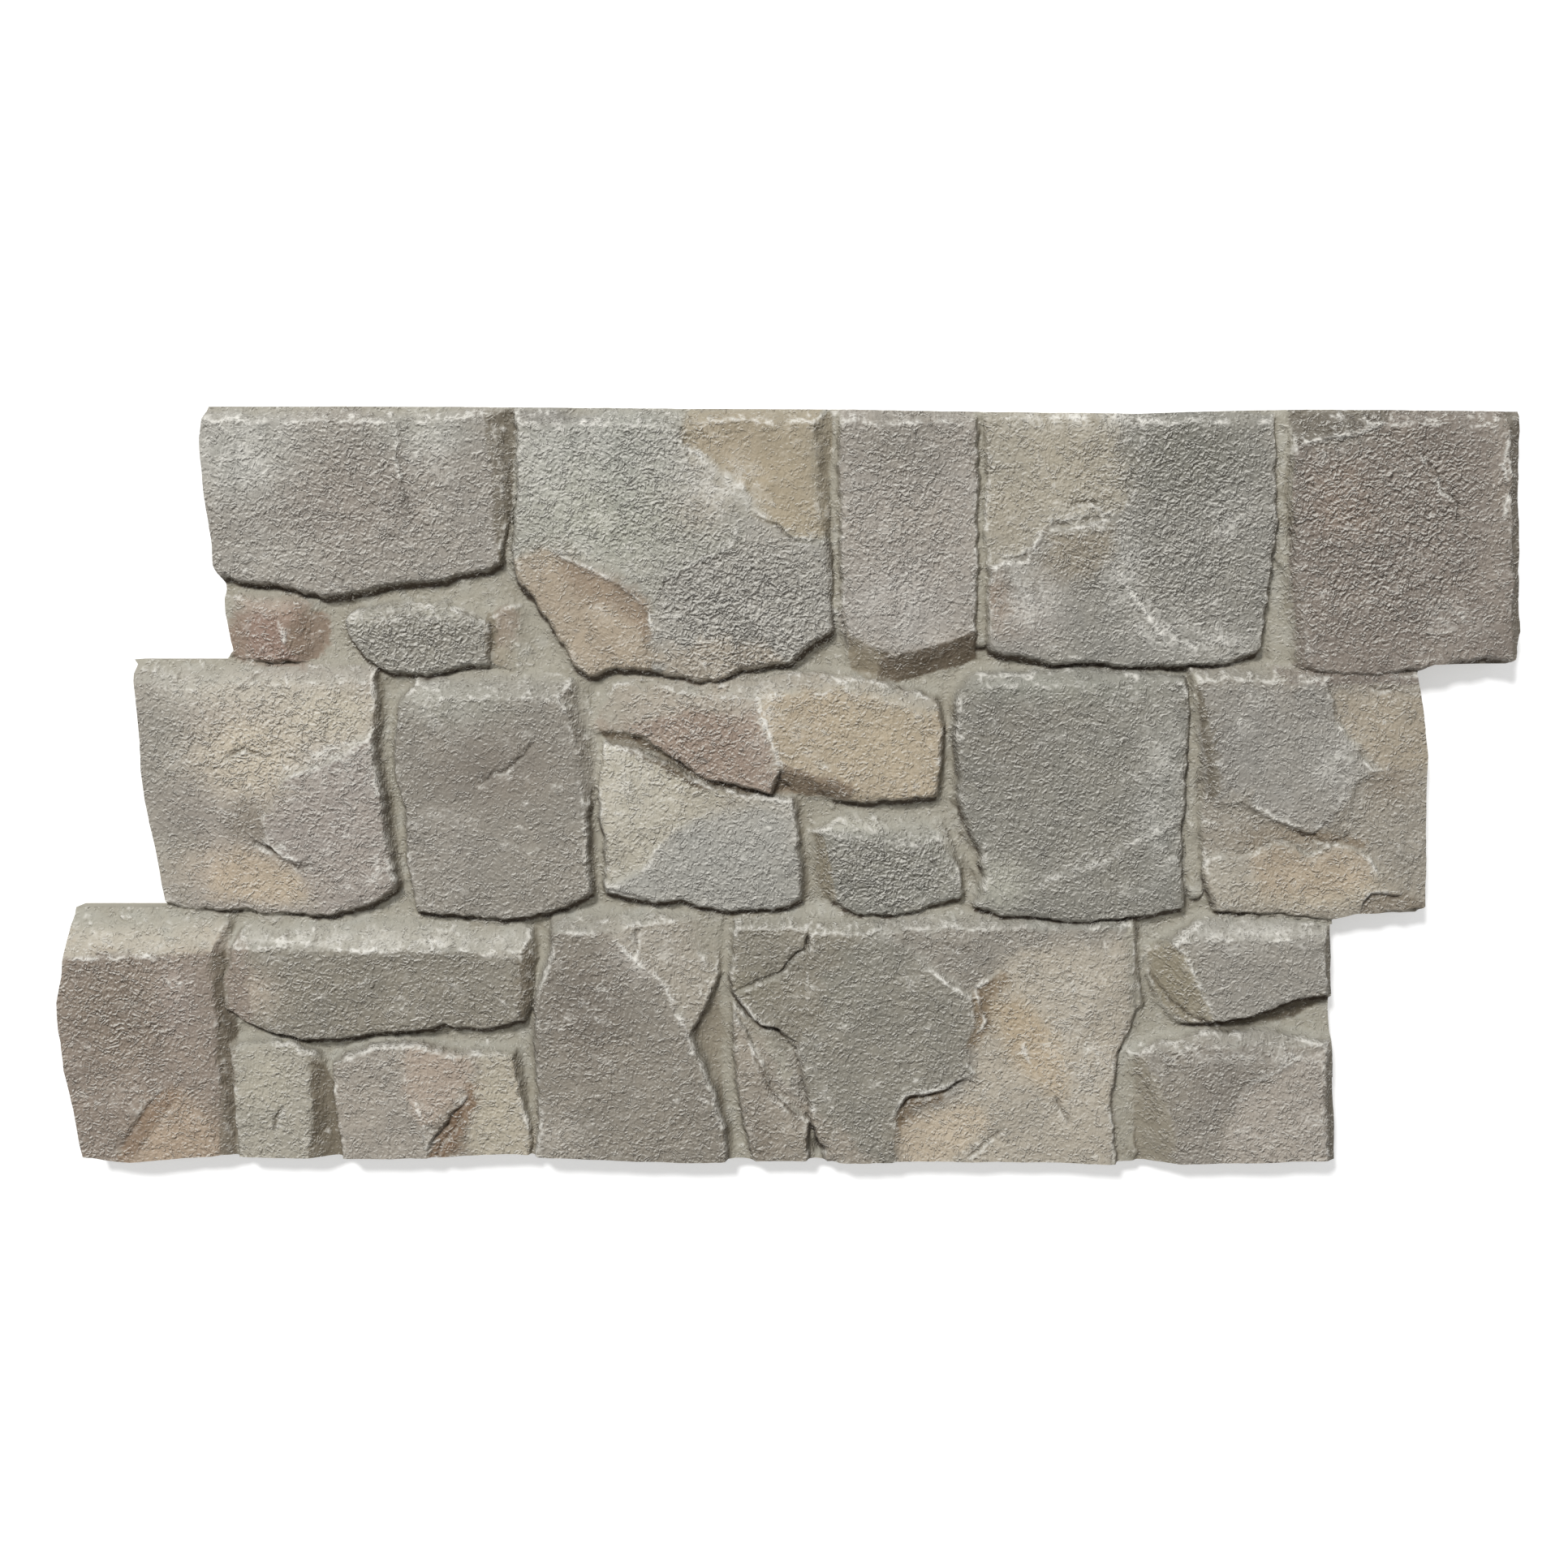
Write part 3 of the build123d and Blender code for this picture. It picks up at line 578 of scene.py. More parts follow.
# Each stone has a seed, a body colour and clouds of a centre, two radii and a colour
STONES = {
    "corner": ((430, 610), (156, 150, 140), [
        ((300, 555), (75, 65), (172, 170, 161)), ((520, 530), (60, 30), (160, 158, 148)),
        ((430, 620), (90, 60), (150, 142, 132)), ((330, 685), (60, 30), (165, 160, 150)),
    ]),
    "rose chip": ((320, 780), (152, 131, 116), [
        ((320, 745), (45, 11), (180, 165, 150)), ((375, 785), (14, 25), (140, 122, 106)),
    ]),
    "grey chip": ((510, 785), (148, 144, 133), [
        ((450, 765), (30, 20), (172, 168, 155)), ((540, 752), (60, 11), (172, 168, 154)),
        ((645, 785), (30, 40), (172, 163, 146)),
    ]),
    "broad": ((800, 640), (166, 164, 153), [
        ((730, 560), (90, 60), (168, 168, 158)), ((740, 640), (90, 55), (174, 174, 160)),
        ((905, 550), (55, 42), (163, 149, 129)), ((965, 600), (42, 60), (175, 162, 138)),
        ((870, 625), (40, 30), (171, 164, 150)), ((690, 730), (40, 45), (163, 149, 131)),
        ((745, 780), (48, 48), (171, 157, 136)), ((900, 745), (90, 60), (162, 160, 149)),
        ((670, 510), (60, 16), (130, 126, 119)),
    ]),
    "narrow": ((1115, 640), (163, 156, 146), [
        ((1110, 545), (60, 40), (145, 139, 129)), ((1110, 740), (60, 45), (171, 165, 157)),
        # Along the foot: partly the stone's colour and partly painted shade on the facet that faces down the
        # panel
        ((1130, 822), (90, 16), (135, 124, 107)),
    ]),
    "stepped": ((1450, 640), (146, 143, 134), [
        ((1260, 540), (60, 60), (169, 161, 145)), ((1320, 575), (62, 60), (173, 162, 142)),
        ((1240, 640), (35, 42), (166, 153, 134)), ((1300, 700), (45, 32), (153, 146, 134)),
        ((1260, 765), (50, 38), (159, 152, 143)), ((1460, 560), (75, 60), (131, 129, 119)),
        ((1228, 740), (18, 36), (149, 134, 119)),
    ]),
    "last": ((1700, 680), (139, 129, 119), [
        ((1640, 530), (50, 22), (152, 147, 136)), ((1845, 640), (22, 120), (153, 143, 132)),
        ((1770, 540), (60, 25), (136, 126, 116)),
    ]),
    "end": ((250, 980), (166, 158, 147), [
        ((195, 910), (40, 90), (155, 150, 139)), ((290, 850), (110, 22), (191, 184, 169)),
        ((310, 930), (75, 55), (206, 194, 172)), ((410, 880), (65, 38), (202, 193, 173)),
        ((415, 1010), (65, 60), (165, 157, 149)), ((220, 1020), (40, 55), (148, 141, 131)),
        ((270, 1070), (70, 32), (179, 166, 149)), ((350, 1095), (60, 18), (208, 196, 174)),
        ((305, 1012), (30, 26), (138, 129, 116)),
    ]),
    "square": ((610, 1000), (147, 141, 130), [
        ((560, 868), (70, 26), (161, 158, 146)), ((600, 950), (85, 45), (135, 127, 116)),
        ((540, 1050), (55, 55), (151, 145, 135)),
    ]),
    "lintel": ((1000, 910), (170, 160, 144), [
        ((790, 885), (50, 28), (172, 162, 149)), ((885, 920), (52, 42), (153, 138, 123)),
        ((985, 890), (48, 40), (168, 154, 135)), ((1085, 910), (60, 50), (179, 170, 149)),
        ((1010, 972), (60, 12), (150, 135, 115)),
    ]),
    "sill": ((800, 1030), (174, 170, 159), [
        ((790, 955), (60, 50), (190, 185, 169)), ((885, 1060), (75, 36), (165, 163, 154)),
        ((950, 1095), (45, 26), (126, 124, 115)), ((885, 983), (50, 14), (170, 162, 146)),
    ]),
    "wedge": ((1090, 1070), (143, 141, 131), [((1060, 1013), (60, 12), (222, 218, 201))]),
    "block": ((1330, 980), (141, 138, 128), [
        ((1240, 900), (70, 70), (134, 130, 120)), ((1430, 980), (28, 110), (148, 146, 137)),
        ((1230, 1090), (34, 34), (177, 175, 161)), ((1300, 848), (110, 18), (143, 142, 131)),
    ]),
    "flaked": ((1600, 1000), (158, 151, 138), [
        ((1530, 900), (50, 65), (141, 137, 128)), ((1600, 945), (55, 45), (151, 149, 140)),
        ((1700, 860), (42, 50), (166, 157, 142)), ((1715, 965), (30, 25), (153, 142, 126)),
        ((1575, 1035), (60, 18), (151, 139, 121)), ((1620, 1095), (90, 30), (205, 192, 168)),
        ((1500, 1085), (30, 38), (180, 173, 158)),
    ]),
    "first": ((150, 1280), (150, 137, 124), [
        ((165, 1150), (110, 22), (190, 182, 166)), ((140, 1250), (60, 60), (137, 124, 110)),
        ((218, 1230), (26, 50), (159, 146, 135)), ((215, 1400), (48, 40), (169, 152, 131)),
    ]),
    "long": ((470, 1220), (138, 132, 119), [
        ((300, 1220), (45, 34), (183, 170, 153)), ((450, 1158), (190, 14), (182, 177, 163)),
        ((615, 1200), (30, 40), (144, 138, 125)),
    ]),
    "low": ((340, 1350), (172, 166, 151), [((325, 1330), (30, 50), (181, 175, 158))]),
    "cleft": ((470, 1370), (163, 155, 143), [
        ((545, 1315), (35, 22), (171, 157, 141)), ((560, 1395), (20, 35), (137, 125, 109)),
        ((610, 1365), (32, 55), (180, 171, 151)),
    ]),
    "dark": ((740, 1310), (143, 136, 124), [
        ((720, 1245), (50, 75), (128, 120, 109)), ((685, 1405), (38, 40), (162, 155, 143)),
        ((795, 1175), (50, 36), (159, 151, 140)), ((848, 1235), (28, 50), (154, 147, 135)),
    ]),
    "shards": ((940, 1180), (141, 135, 121), [((925, 1215), (40, 20), (136, 130, 114))]),
    "shard": ((925, 1330), (157, 148, 134), [((930, 1412), (28, 26), (134, 125, 112))]),
    "wide": ((1090, 1280), (150, 144, 133), [
        ((1040, 1200), (60, 60), (146, 144, 131)), ((1120, 1262), (65, 60), (135, 130, 120)),
        ((1060, 1335), (60, 36), (143, 137, 126)), ((1232, 1245), (34, 36), (164, 149, 126)),
        ((1310, 1220), (75, 50), (185, 176, 160)), ((1345, 1290), (40, 55), (187, 175, 156)),
        ((1250, 1335), (48, 28), (173, 163, 148)), ((1130, 1402), (60, 26), (166, 153, 134)),
        ((1250, 1405), (60, 28), (164, 157, 147)), ((1340, 1390), (40, 45), (179, 169, 153)),
    ]),
    "cap": ((1550, 1200), (156, 151, 141), [((1448, 1215), (26, 40), (145, 137, 117))]),
    "footing": ((1540, 1350), (152, 145, 134), [
        ((1505, 1325), (40, 36), (136, 129, 119)), ((1438, 1350), (30, 60), (148, 141, 129)),
    ]),
}

# %% Growing the stones from their seeds
SEED_LEVEL = BED_LEVEL + 0.009
SKIRT_LEVEL = BED_LEVEL - 0.004
SEED_ROUNDS = 230
SKIRT_ROUNDS = 7

# Mortar beads that stand nearly as high as the stones: their line and their half width at each end.
# They are no stone, so no seed may grow into them.
BEADS = [
    ([(1029, 500), (1033, 745)], (0.0036, 0.0040)),
    ([(1209, 500), (1211, 790)], (0.0036, 0.0052)),
    ([(1582, 500), (1582, 690)], (0.0070, 0.0056)),
    ([(1583, 680), (1582, 805)], (0.0050, 0.0120)),
    ([(1469, 835), (1474, 1105)], (0.0040, 0.0070)),
    ([(1397, 1140), (1404, 1245)], (0.0040, 0.0066)),
    ([(1392, 1300), (1388, 1430)], (0.0060, 0.0130)),
]
bead = np.zeros((rows, columns), np.float32)
for line, (first_half, last_half) in BEADS:
    window, distance, share = beside(line, last_half + 0.002)
    half_width = first_half + share * (last_half - first_half)
    bead[window] = np.maximum(bead[window], ramp(half_width - np.abs(distance), -0.0008, 0.0004))


def grow(label, allowed, rounds):
    """Lets each label take the free neighbours that it may have, round by round."""
    for _ in range(rounds):
        for shift, axis in ((1, 0), (-1, 0), (1, 1), (-1, 1)):
            neighbour = np.roll(label, shift, axis)
            label = np.where((label == 0) & allowed, neighbour, label)
    return label


label = np.zeros((rows, columns), np.int16)
stone_number = {name: number for number, name in enumerate(STONES, 1)}
seeds = [(name, seed) for name, (seed, _, _) in STONES.items()]

# A second seed, so that no neighbour reaches the right half of the wide stone first
seeds.append(("wide", (1330, 1310)))
for name, seed in seeds:
    x, y = spot(seed)
    label[int((y - origin_y) / CELL), int((x - origin_x) / CELL)] = stone_number[name]
on_stone = sample(solid_height, bent_x, bent_y) > SEED_LEVEL
label = grow(label, on_stone & (bead < 0.5), SEED_ROUNDS)
label = grow(label, (height > SKIRT_LEVEL) & (bead < 0.5), SKIRT_ROUNDS)
covered = (label > 0)[on_panel].mean()
print(f"{len(STONES)} stones cover {covered:.0%} of the panel")

# %% [markdown]
# A cloud of the airbrush is soft: it is strongest in its middle and fades like a bell curve. Where a
# flake has come away the stone shows another colour, and there the border is crisp, so these
# patches are drawn as outlines; a few of them are painted shade under an edge or a ledge, in a notch
# or in a cleft. Facets that run down into a joint are listed apart, because their colour goes over
# the mortar too; the darkest of them are painted shade.

# %% Patches with crisp borders
# Each patch has its colour, the width in metres of its soft border, and its outline, and its name
# starts with its stone
PATCHES = {
    "rose chip, rosy half": ((148, 124, 110), 0.0015, [
        (268, 768), (300, 752), (338, 762), (350, 778), (352, 800), (365, 815), (290, 815),
        (270, 798)]),
    "rose chip, brown half": ((143, 125, 107), 0.0015, [
        (350, 778), (358, 766), (388, 746), (405, 768), (398, 798), (375, 815), (352, 800)]),
    "grey chip, beige end": ((158, 144, 121), 0.002, [
        (603, 750), (640, 742), (680, 800), (650, 832), (606, 828), (610, 790)]),
    "broad, ochre corner": ((168, 155, 131), 0.0025, [
        (845, 500), (1015, 500), (1000, 545), (1005, 600), (1020, 662), (985, 660), (955, 640),
        (925, 612), (892, 587), (868, 564), (842, 548)]),
    "broad, coarse corner": ((164, 160, 151), 0.002, [
        (922, 636), (955, 645), (985, 668), (1030, 668), (1030, 780), (1000, 795), (975, 820),
        (915, 830), (880, 842), (806, 838), (806, 760), (820, 715), (870, 690), (912, 672)]),
    "broad, tan corner": ((175, 160, 139), 0.002, [
        (630, 690), (665, 675), (720, 700), (765, 722), (800, 748), (804, 800), (806, 838),
        (720, 838), (700, 812), (655, 740), (634, 712)]),
    "broad, shaded border": ((150, 132, 112), 0.006, [
        (688, 688), (740, 707), (785, 730), (803, 752), (802, 800), (785, 770), (745, 742), (700, 716)]),
    "broad, pale crest": ((181, 177, 165), 0.004, [
        (838, 545), (862, 556), (895, 580), (930, 612), (925, 634), (900, 605), (868, 580)]),
    "stepped, ochre corner": ((170, 163, 146), 0.002, [
        (1210, 500), (1376, 500), (1378, 555), (1388, 595), (1385, 630), (1365, 636), (1320, 649),
        (1296, 645), (1272, 670), (1262, 682), (1232, 695), (1210, 698)]),
    "stepped, brown under the edge": ((154, 144, 126), 0.012, [
        (1290, 655), (1330, 655), (1372, 645), (1370, 690), (1330, 715), (1290, 700)]),
    "last, shoulder": ((98, 91, 80), 0.005, [
        (1585, 552), (1625, 542), (1665, 530), (1702, 522), (1720, 500), (1585, 500)]),
    "last, brown middle": ((144, 129, 116), 0.020, [
        (1612, 585), (1680, 570), (1700, 620), (1680, 665), (1615, 660)]),
    "last, crumbled strip": ((142, 132, 120), 0.0012, [
        (1846, 500), (1858, 500), (1859, 690), (1850, 692), (1852, 640), (1844, 600), (1849, 560)]),
    "end, plate": ((161, 152, 143), 0.002, [
        (340, 985), (347, 965), (365, 952), (420, 935), (440, 917), (470, 905), (480, 950),
        (490, 1000), (495, 1088), (478, 1106), (450, 1120), (400, 1130), (372, 1100), (365, 1066),
        (350, 1055), (332, 1035), (326, 1015)]),
    "end, ochre foot": ((190, 173, 149), 0.014, [
        (290, 1045), (340, 1062), (368, 1078), (380, 1104), (330, 1116), (255, 1108), (262, 1070)]),
    "lintel, rosy left": ((157, 138, 123), 0.002, [
        (730, 897), (740, 866), (924, 852), (935, 880), (948, 920), (957, 950), (952, 985),
        (870, 965), (830, 940), (780, 910)]),
    "lintel, pale top of the left": ((178, 170, 155), 0.002, [
        (738, 868), (800, 855), (924, 852), (932, 878), (900, 884), (850, 876), (800, 890),
        (742, 896)]),
    "lintel, cream right": ((184, 169, 144), 0.002, [
        (930, 854), (1040, 845), (1170, 880), (1170, 990), (1050, 985), (1052, 968), (962, 940),
        (945, 900)]),
    "sill, cream": ((186, 179, 161), 0.003, [
        (735, 905), (800, 925), (870, 962), (900, 985), (870, 1003), (840, 1018), (812, 1046),
        (788, 1073), (748, 1092), (740, 980)]),
    "sill, grey bulge": ((164, 162, 154), 0.003, [
        (752, 1095), (790, 1077), (812, 1050), (842, 1022), (880, 1007), (930, 998), (965, 1003),
        (990, 1015), (995, 1130), (745, 1130)]),
    "flaked, grey plate": ((151, 147, 139), 0.002, [
        (1462, 845), (1632, 845), (1637, 858), (1655, 905), (1670, 920), (1692, 945), (1670, 960),
        (1655, 990), (1640, 1022), (1610, 1020), (1565, 1003), (1530, 985), (1490, 990)]),
    "flaked, ochre shoulder": ((172, 160, 140), 0.006, [
        (1645, 856), (1765, 856), (1765, 945), (1705, 945), (1676, 918), (1660, 900)]),
    "flaked, ochre foot": ((185, 168, 144), 0.012, [
        (1540, 1052), (1575, 1040), (1612, 1056), (1650, 1042), (1682, 1052), (1690, 1085),
        (1640, 1108), (1555, 1100)]),
    "flaked, notch": ((134, 119, 99), 0.003, [
        (1612, 1024), (1650, 1030), (1690, 1032), (1684, 1044), (1640, 1040), (1612, 1036)]),
    "flaked, broken corner": ((136, 125, 109), 0.002, [
        (1680, 1108), (1700, 1100), (1738, 1104), (1760, 1116), (1755, 1132), (1678, 1132)]),
    "first, top band": ((195, 183, 163), 0.0015, [
        (70, 1120), (280, 1120), (262, 1172), (200, 1176), (140, 1172), (70, 1182)]),
    "first, peach flake": ((180, 160, 138), 0.012, [
        (200, 1350), (225, 1344), (272, 1400), (268, 1445), (140, 1445)]),
    "first, broken strip": ((146, 123, 101), 0.0015, [
        (138, 1425), (165, 1388), (188, 1350), (212, 1342), (224, 1348), (202, 1370), (178, 1405),
        (158, 1432)]),
    "long, top band": ((184, 178, 164), 0.0012, [
        (280, 1130), (660, 1130), (656, 1184), (601, 1178), (562, 1167), (525, 1157), (484, 1170),
        (437, 1171), (395, 1165), (353, 1162), (327, 1159), (291, 1164), (284, 1190)]),
    "cleft, rosy facet": ((177, 161, 145), 0.002, [
        (500, 1290), (522, 1284), (560, 1296), (580, 1315), (574, 1340), (542, 1376), (518, 1388),
        (500, 1350), (496, 1320)]),
    "cleft, brown gap": ((128, 102, 78), 0.003, [
        (582, 1336), (564, 1368), (545, 1392), (520, 1440), (548, 1440), (566, 1404), (586, 1362)]),
    "cleft, cream end": ((187, 178, 158), 0.004, [
        (590, 1296), (640, 1296), (648, 1350), (660, 1405), (655, 1440), (580, 1440), (576, 1402),
        (592, 1360)]),
    "dark, beige facet": ((172, 164, 149), 0.0015, [
        (752, 1125), (890, 1125), (890, 1215), (858, 1255), (850, 1272), (826, 1224), (790, 1190),
        (750, 1152)]),
    "wide, cream right": ((184, 175, 158), 0.006, [
        (1240, 1175), (1300, 1168), (1395, 1160), (1396, 1250), (1372, 1300), (1366, 1445),
        (1240, 1445), (1150, 1445), (1150, 1380), (1200, 1330), (1205, 1240)]),
    "wide, grey plate": ((140, 136, 124), 0.0015, [
        (1005, 1115), (1085, 1145), (1115, 1168), (1140, 1190), (1195, 1230), (1198, 1260),
        (1185, 1295), (1200, 1322), (1165, 1340), (1115, 1352), (1100, 1375), (1102, 1445),
        (1028, 1445), (1000, 1370), (985, 1290), (990, 1180)]),
    "wide, notch": ((132, 114, 90), 0.004, [
        (1198, 1228), (1214, 1208), (1238, 1198), (1244, 1208), (1226, 1232), (1220, 1264),
        (1202, 1290), (1188, 1292), (1203, 1262)]),
    "wide, ochre hollow": ((186, 167, 138), 0.014, [
        (1225, 1235), (1255, 1228), (1300, 1275), (1322, 1330), (1310, 1360), (1270, 1330),
        (1238, 1290)]),
    "wide, under the ledge": ((110, 92, 70), 0.004, [
        (1100, 1378), (1114, 1354), (1168, 1342), (1162, 1356), (1125, 1370), (1110, 1396)]),
    "wide, ochre foot": ((202, 186, 162), 0.010, [
        (1110, 1390), (1160, 1366), (1200, 1360), (1222, 1380), (1190, 1415), (1150, 1445),
        (1108, 1445)]),
    "footing, light facet": ((177, 168, 156), 0.003, [
        (1530, 1350), (1550, 1335), (1585, 1315), (1612, 1300), (1640, 1290), (1640, 1445),
        (1505, 1445), (1515, 1390)]),
}

# Facets that run down into the joints: their colour, soft border and outline. The darkest, on walls
# that face down the panel or to the side, are painted shade.
SIDE_FACETS_AND_SHADE = {
    "corner, right": ((116, 108, 93), 0.0015, [
        (597, 508), (632, 505), (629, 640), (616, 696), (607, 640), (603, 580)]),
    "rose chip, right": ((146, 126, 109), 0.002, [
        (366, 756), (392, 754), (402, 768), (400, 795), (386, 812), (368, 814), (360, 785)]),
    "rose chip, left": ((146, 126, 110), 0.002, [
        (277, 764), (286, 754), (300, 752), (300, 816), (286, 812), (279, 790)]),
    "grey chip, far right": ((152, 138, 122), 0.004, [
        (606, 750), (622, 745), (638, 760), (632, 788), (612, 800), (608, 780)]),
    "grey chip, right": ((126, 116, 98), 0.002, [
        (597, 752), (607, 760), (612, 800), (600, 806), (594, 780)]),
    "broad, right": ((160, 150, 129), 0.0015, [
        (1001, 520), (1024, 507), (1024, 660), (1008, 650), (1002, 600)]),
    "narrow, shaded foot": ((98, 85, 68), 0.0015, [
        (1085, 806), (1105, 808), (1150, 796), (1203, 778), (1206, 812), (1140, 832), (1110, 842),
        (1078, 842)]),
    "narrow, left of the foot": ((138, 127, 107), 0.0015, [
        (1044, 778), (1088, 806), (1080, 842), (1052, 826)]),
    "last, right side": ((114, 107, 95), 0.0012, [
        (1859, 500), (1880, 500), (1880, 810), (1864, 815), (1862, 700)]),
    "left lintel, shaded foot": ((98, 85, 67), 0.003, [
        (738, 900), (790, 912), (830, 938), (870, 962), (930, 975), (930, 984), (860, 972),
        (800, 940), (745, 914)]),
    "right lintel, foot": ((131, 114, 94), 0.0015, [
        (960, 940), (1052, 968), (1048, 986), (952, 980)]),
    "wedge, left": ((148, 139, 119), 0.002, [
        (1003, 1028), (1018, 1034), (1030, 1116), (1014, 1110), (1006, 1070)]),
    "flaked, left": ((118, 110, 95), 0.0015, [
        (1471, 842), (1480, 848), (1504, 976), (1490, 990), (1484, 930)]),
    "first, right wall": ((126, 116, 100), 0.003, [
        (260, 1180), (274, 1172), (290, 1290), (288, 1445), (268, 1445), (271, 1330)]),
    "long, right wall": ((130, 120, 103), 0.0015, [
        (642, 1164), (658, 1180), (653, 1240), (641, 1260), (637, 1215)]),
    "low, right facet": ((119, 109, 92), 0.002, [
        (380, 1303), (398, 1318), (414, 1350), (420, 1445), (378, 1445), (384, 1380)]),
    "dark, right hollow": ((144, 135, 118), 0.003, [
        (853, 1278), (884, 1222), (890, 1260), (890, 1340), (897, 1400), (884, 1348), (864, 1305)]),
    "cap, left facet": ((151, 142, 121), 0.0012, [
        (1414, 1166), (1445, 1160), (1462, 1182), (1478, 1216), (1494, 1258), (1468, 1262),
        (1436, 1240), (1424, 1204)]),
    "cap, shaded foot": ((82, 73, 58), 0.0015, [
        (1474, 1257), (1500, 1260), (1560, 1251), (1600, 1237), (1634, 1220), (1642, 1236),
        (1602, 1257), (1550, 1270), (1500, 1274)]),
    "cap, right wall": ((118, 113, 101), 0.0015, [
        (1633, 1150), (1660, 1150), (1660, 1228), (1636, 1226), (1634, 1190)]),
    "footing, left facet": ((151, 143, 126), 0.0015, [
        (1398, 1306), (1412, 1300), (1434, 1350), (1448, 1400), (1452, 1445), (1402, 1445)]),
    "footing, right wall": ((106, 100, 88), 0.0015, [
        (1633, 1296), (1660, 1296), (1660, 1445), (1634, 1445), (1638, 1380)]),
}

# %% Airbrushed colours
CLOUD_STRENGTH = 0.92
PATCH_STRENGTH = 0.8
WHOLE = (slice(None), slice(None))


def lay(window, amount, tint):
    """Puts a colour over part of the map, as thick as an amount says."""
    colour[window] += amount[..., None] * (np.array(tint, np.float32) - colour[window])


def cloud(centre, radii, power, window=WHOLE):
    """A soft spot on part of the map: 1 in its middle, and less further out."""
    x, y = spot(centre)
    reach_x, reach_y = (radius / FOCAL_PIXELS * DISTANCE for radius in radii)
    far = ((cell_x[window] - x) / reach_x) ** 2 + ((cell_y[window] - y) / reach_y) ** 2
    return np.exp(-far ** power)


def tinge(amount, *tint):
    """A small change of colour over the whole map."""
    return amount[..., None] * np.array(tint, np.float32)


colour = np.empty((rows, columns, 3), np.float32)
colour[:] = MORTAR
colour += tinge(6 * smooth_noise(0.05), 1.0, 0.9, 0.8)
for name, (seed, body, clouds) in STONES.items():
    own = label == stone_number[name]
    window = tuple(slice(found.min(), found.max() + 1) for found in np.nonzero(own))
    mask = own[window].astype(np.float32)
    lay(window, mask, body)
    for centre, radii, tint in clouds:
        lay(window, mask * CLOUD_STRENGTH * cloud(centre, radii, 1.5, window), tint)
for name, (tint, soft, outline) in PATCHES.items():
    window, amount = within(outline, soft)
    own = label[window] == stone_number[name.split(", ")[0]]
    lay(window, PATCH_STRENGTH * amount * own, tint)
print(f"{len(PATCHES)} patches, {colour[on_panel].mean():.0f} of 255 bright on average")

# %% [markdown]
# The joints are coloured once more over the stones' feet, with dirt and pale scum in blotches. Then
# come the facets that run down into the joints, each with a little relief of its own; the darkest of
# them are painted shade. Last come pale dust with a painted highlight on the slopes that face the
# panel's top, and painted shade on the walls that face the panel's two ends, darker on those that
# face its right end.

# %% Joints, side facets, dust with painted highlight, and painted shade
MORTAR_DIRT = (140, 132, 114)
MORTAR_SCUM = (187, 185, 175)
# Pale dust with a painted highlight for slopes that face the panel's top, and painted shade for walls that
# face its ends
SLOPE_DUST_AND_LIGHT = (183, 182, 171)
SIDE_SHADE = (92, 82, 66)
SIDE_STRENGTH = 0.85
SIDE_CHIPS = (0.0004, 0.005, 2)
SIDE_FACET = 0.0011
TOP_COURSE_FOOT = ((966, 850), (966, 810))

mottle = smooth_noise(0.020, 3)
dirt = ramp(smooth_noise(0.014, 3), 0.25, 0.95)
scum = ramp(smooth_noise(0.011, 3), 0.35, 0.85)
colour += tinge(4.5 * mottle + 3.0 * smooth_noise(0.008, 2), 1.0, 0.88, 0.7)
fall_y, fall_x = np.gradient(blur(height, CELL), CELL)
low_mortar = np.maximum(bead, 1 - ramp(height, BED_LEVEL + 0.003, BED_LEVEL + 0.012))
lay(WHOLE, low_mortar, MORTAR)
lay(WHOLE, 0.4 * low_mortar * dirt, MORTAR_DIRT)
lay(WHOLE, 0.5 * low_mortar * scum, MORTAR_SCUM)
side_facet = np.zeros((rows, columns), np.float32)
for tint, soft, outline in SIDE_FACETS_AND_SHADE.values():
    window, amount = within(outline, 0.6 * soft)
    lay(window, SIDE_STRENGTH * amount, tint)
    side_facet[window] = np.maximum(side_facet[window], amount)
height = height + side_facet * (SIDE_FACET * facet_noise(0.013, 0.004) + hills(SIDE_CHIPS))
faces_up = ramp(-fall_y, 0.22, 0.42)
in_top_course = ramp(cell_y, *(spot(point)[1] for point in TOP_COURSE_FOOT))
# Pale dust and a painted highlight on the slopes that face the panel's top, less in the top course
lay(WHOLE, (0.4 + 0.25 * scum) * (1 - 0.7 * in_top_course) * faces_up, SLOPE_DUST_AND_LIGHT)
# Painted shade on walls that face the panel's right end, and less on those that face its left end
lay(WHOLE, 0.35 * ramp(-fall_x, 0.3, 1.2) + 0.15 * ramp(fall_x, 0.3, 1.2), SIDE_SHADE)
print(f"{len(SIDE_FACETS_AND_SHADE)} side facets, dust on {faces_up[on_panel].mean():.0%} of the panel")

# %% [markdown]
# The last two coats are kept as amounts from 0 to 1, because the shader lays them into the fine
# grain: painted shade, a dark brown put into hollows that face down the panel, into the cracks, below
# the ledges and as a painted contact shadow at the foot of the walls that face down the panel; and a
# dry brush that whitens what stands out, most where it faces the panel's top, so that it is partly a
# painted highlight. To find the foot of such a wall, the map is compared with itself moved down by up
# to five rows: where the moved one is much higher, a stone stands over the cell. A little noise makes
# the border of the painted shadow ragged.

# %% Dry brush with painted highlight, painted shade and grain amounts
crest = ramp(height - blur(height, 0.0016), 0.00012, 0.0005)
hollow = ramp(blur(height, 0.0012) - height, 0.0002, 0.0012)
strokes = ramp(smooth_noise(0.012, 3), -0.5, 0.3)
facing = 0.12 + 0.88 * ramp(-fall_y, -0.15, 0.3)

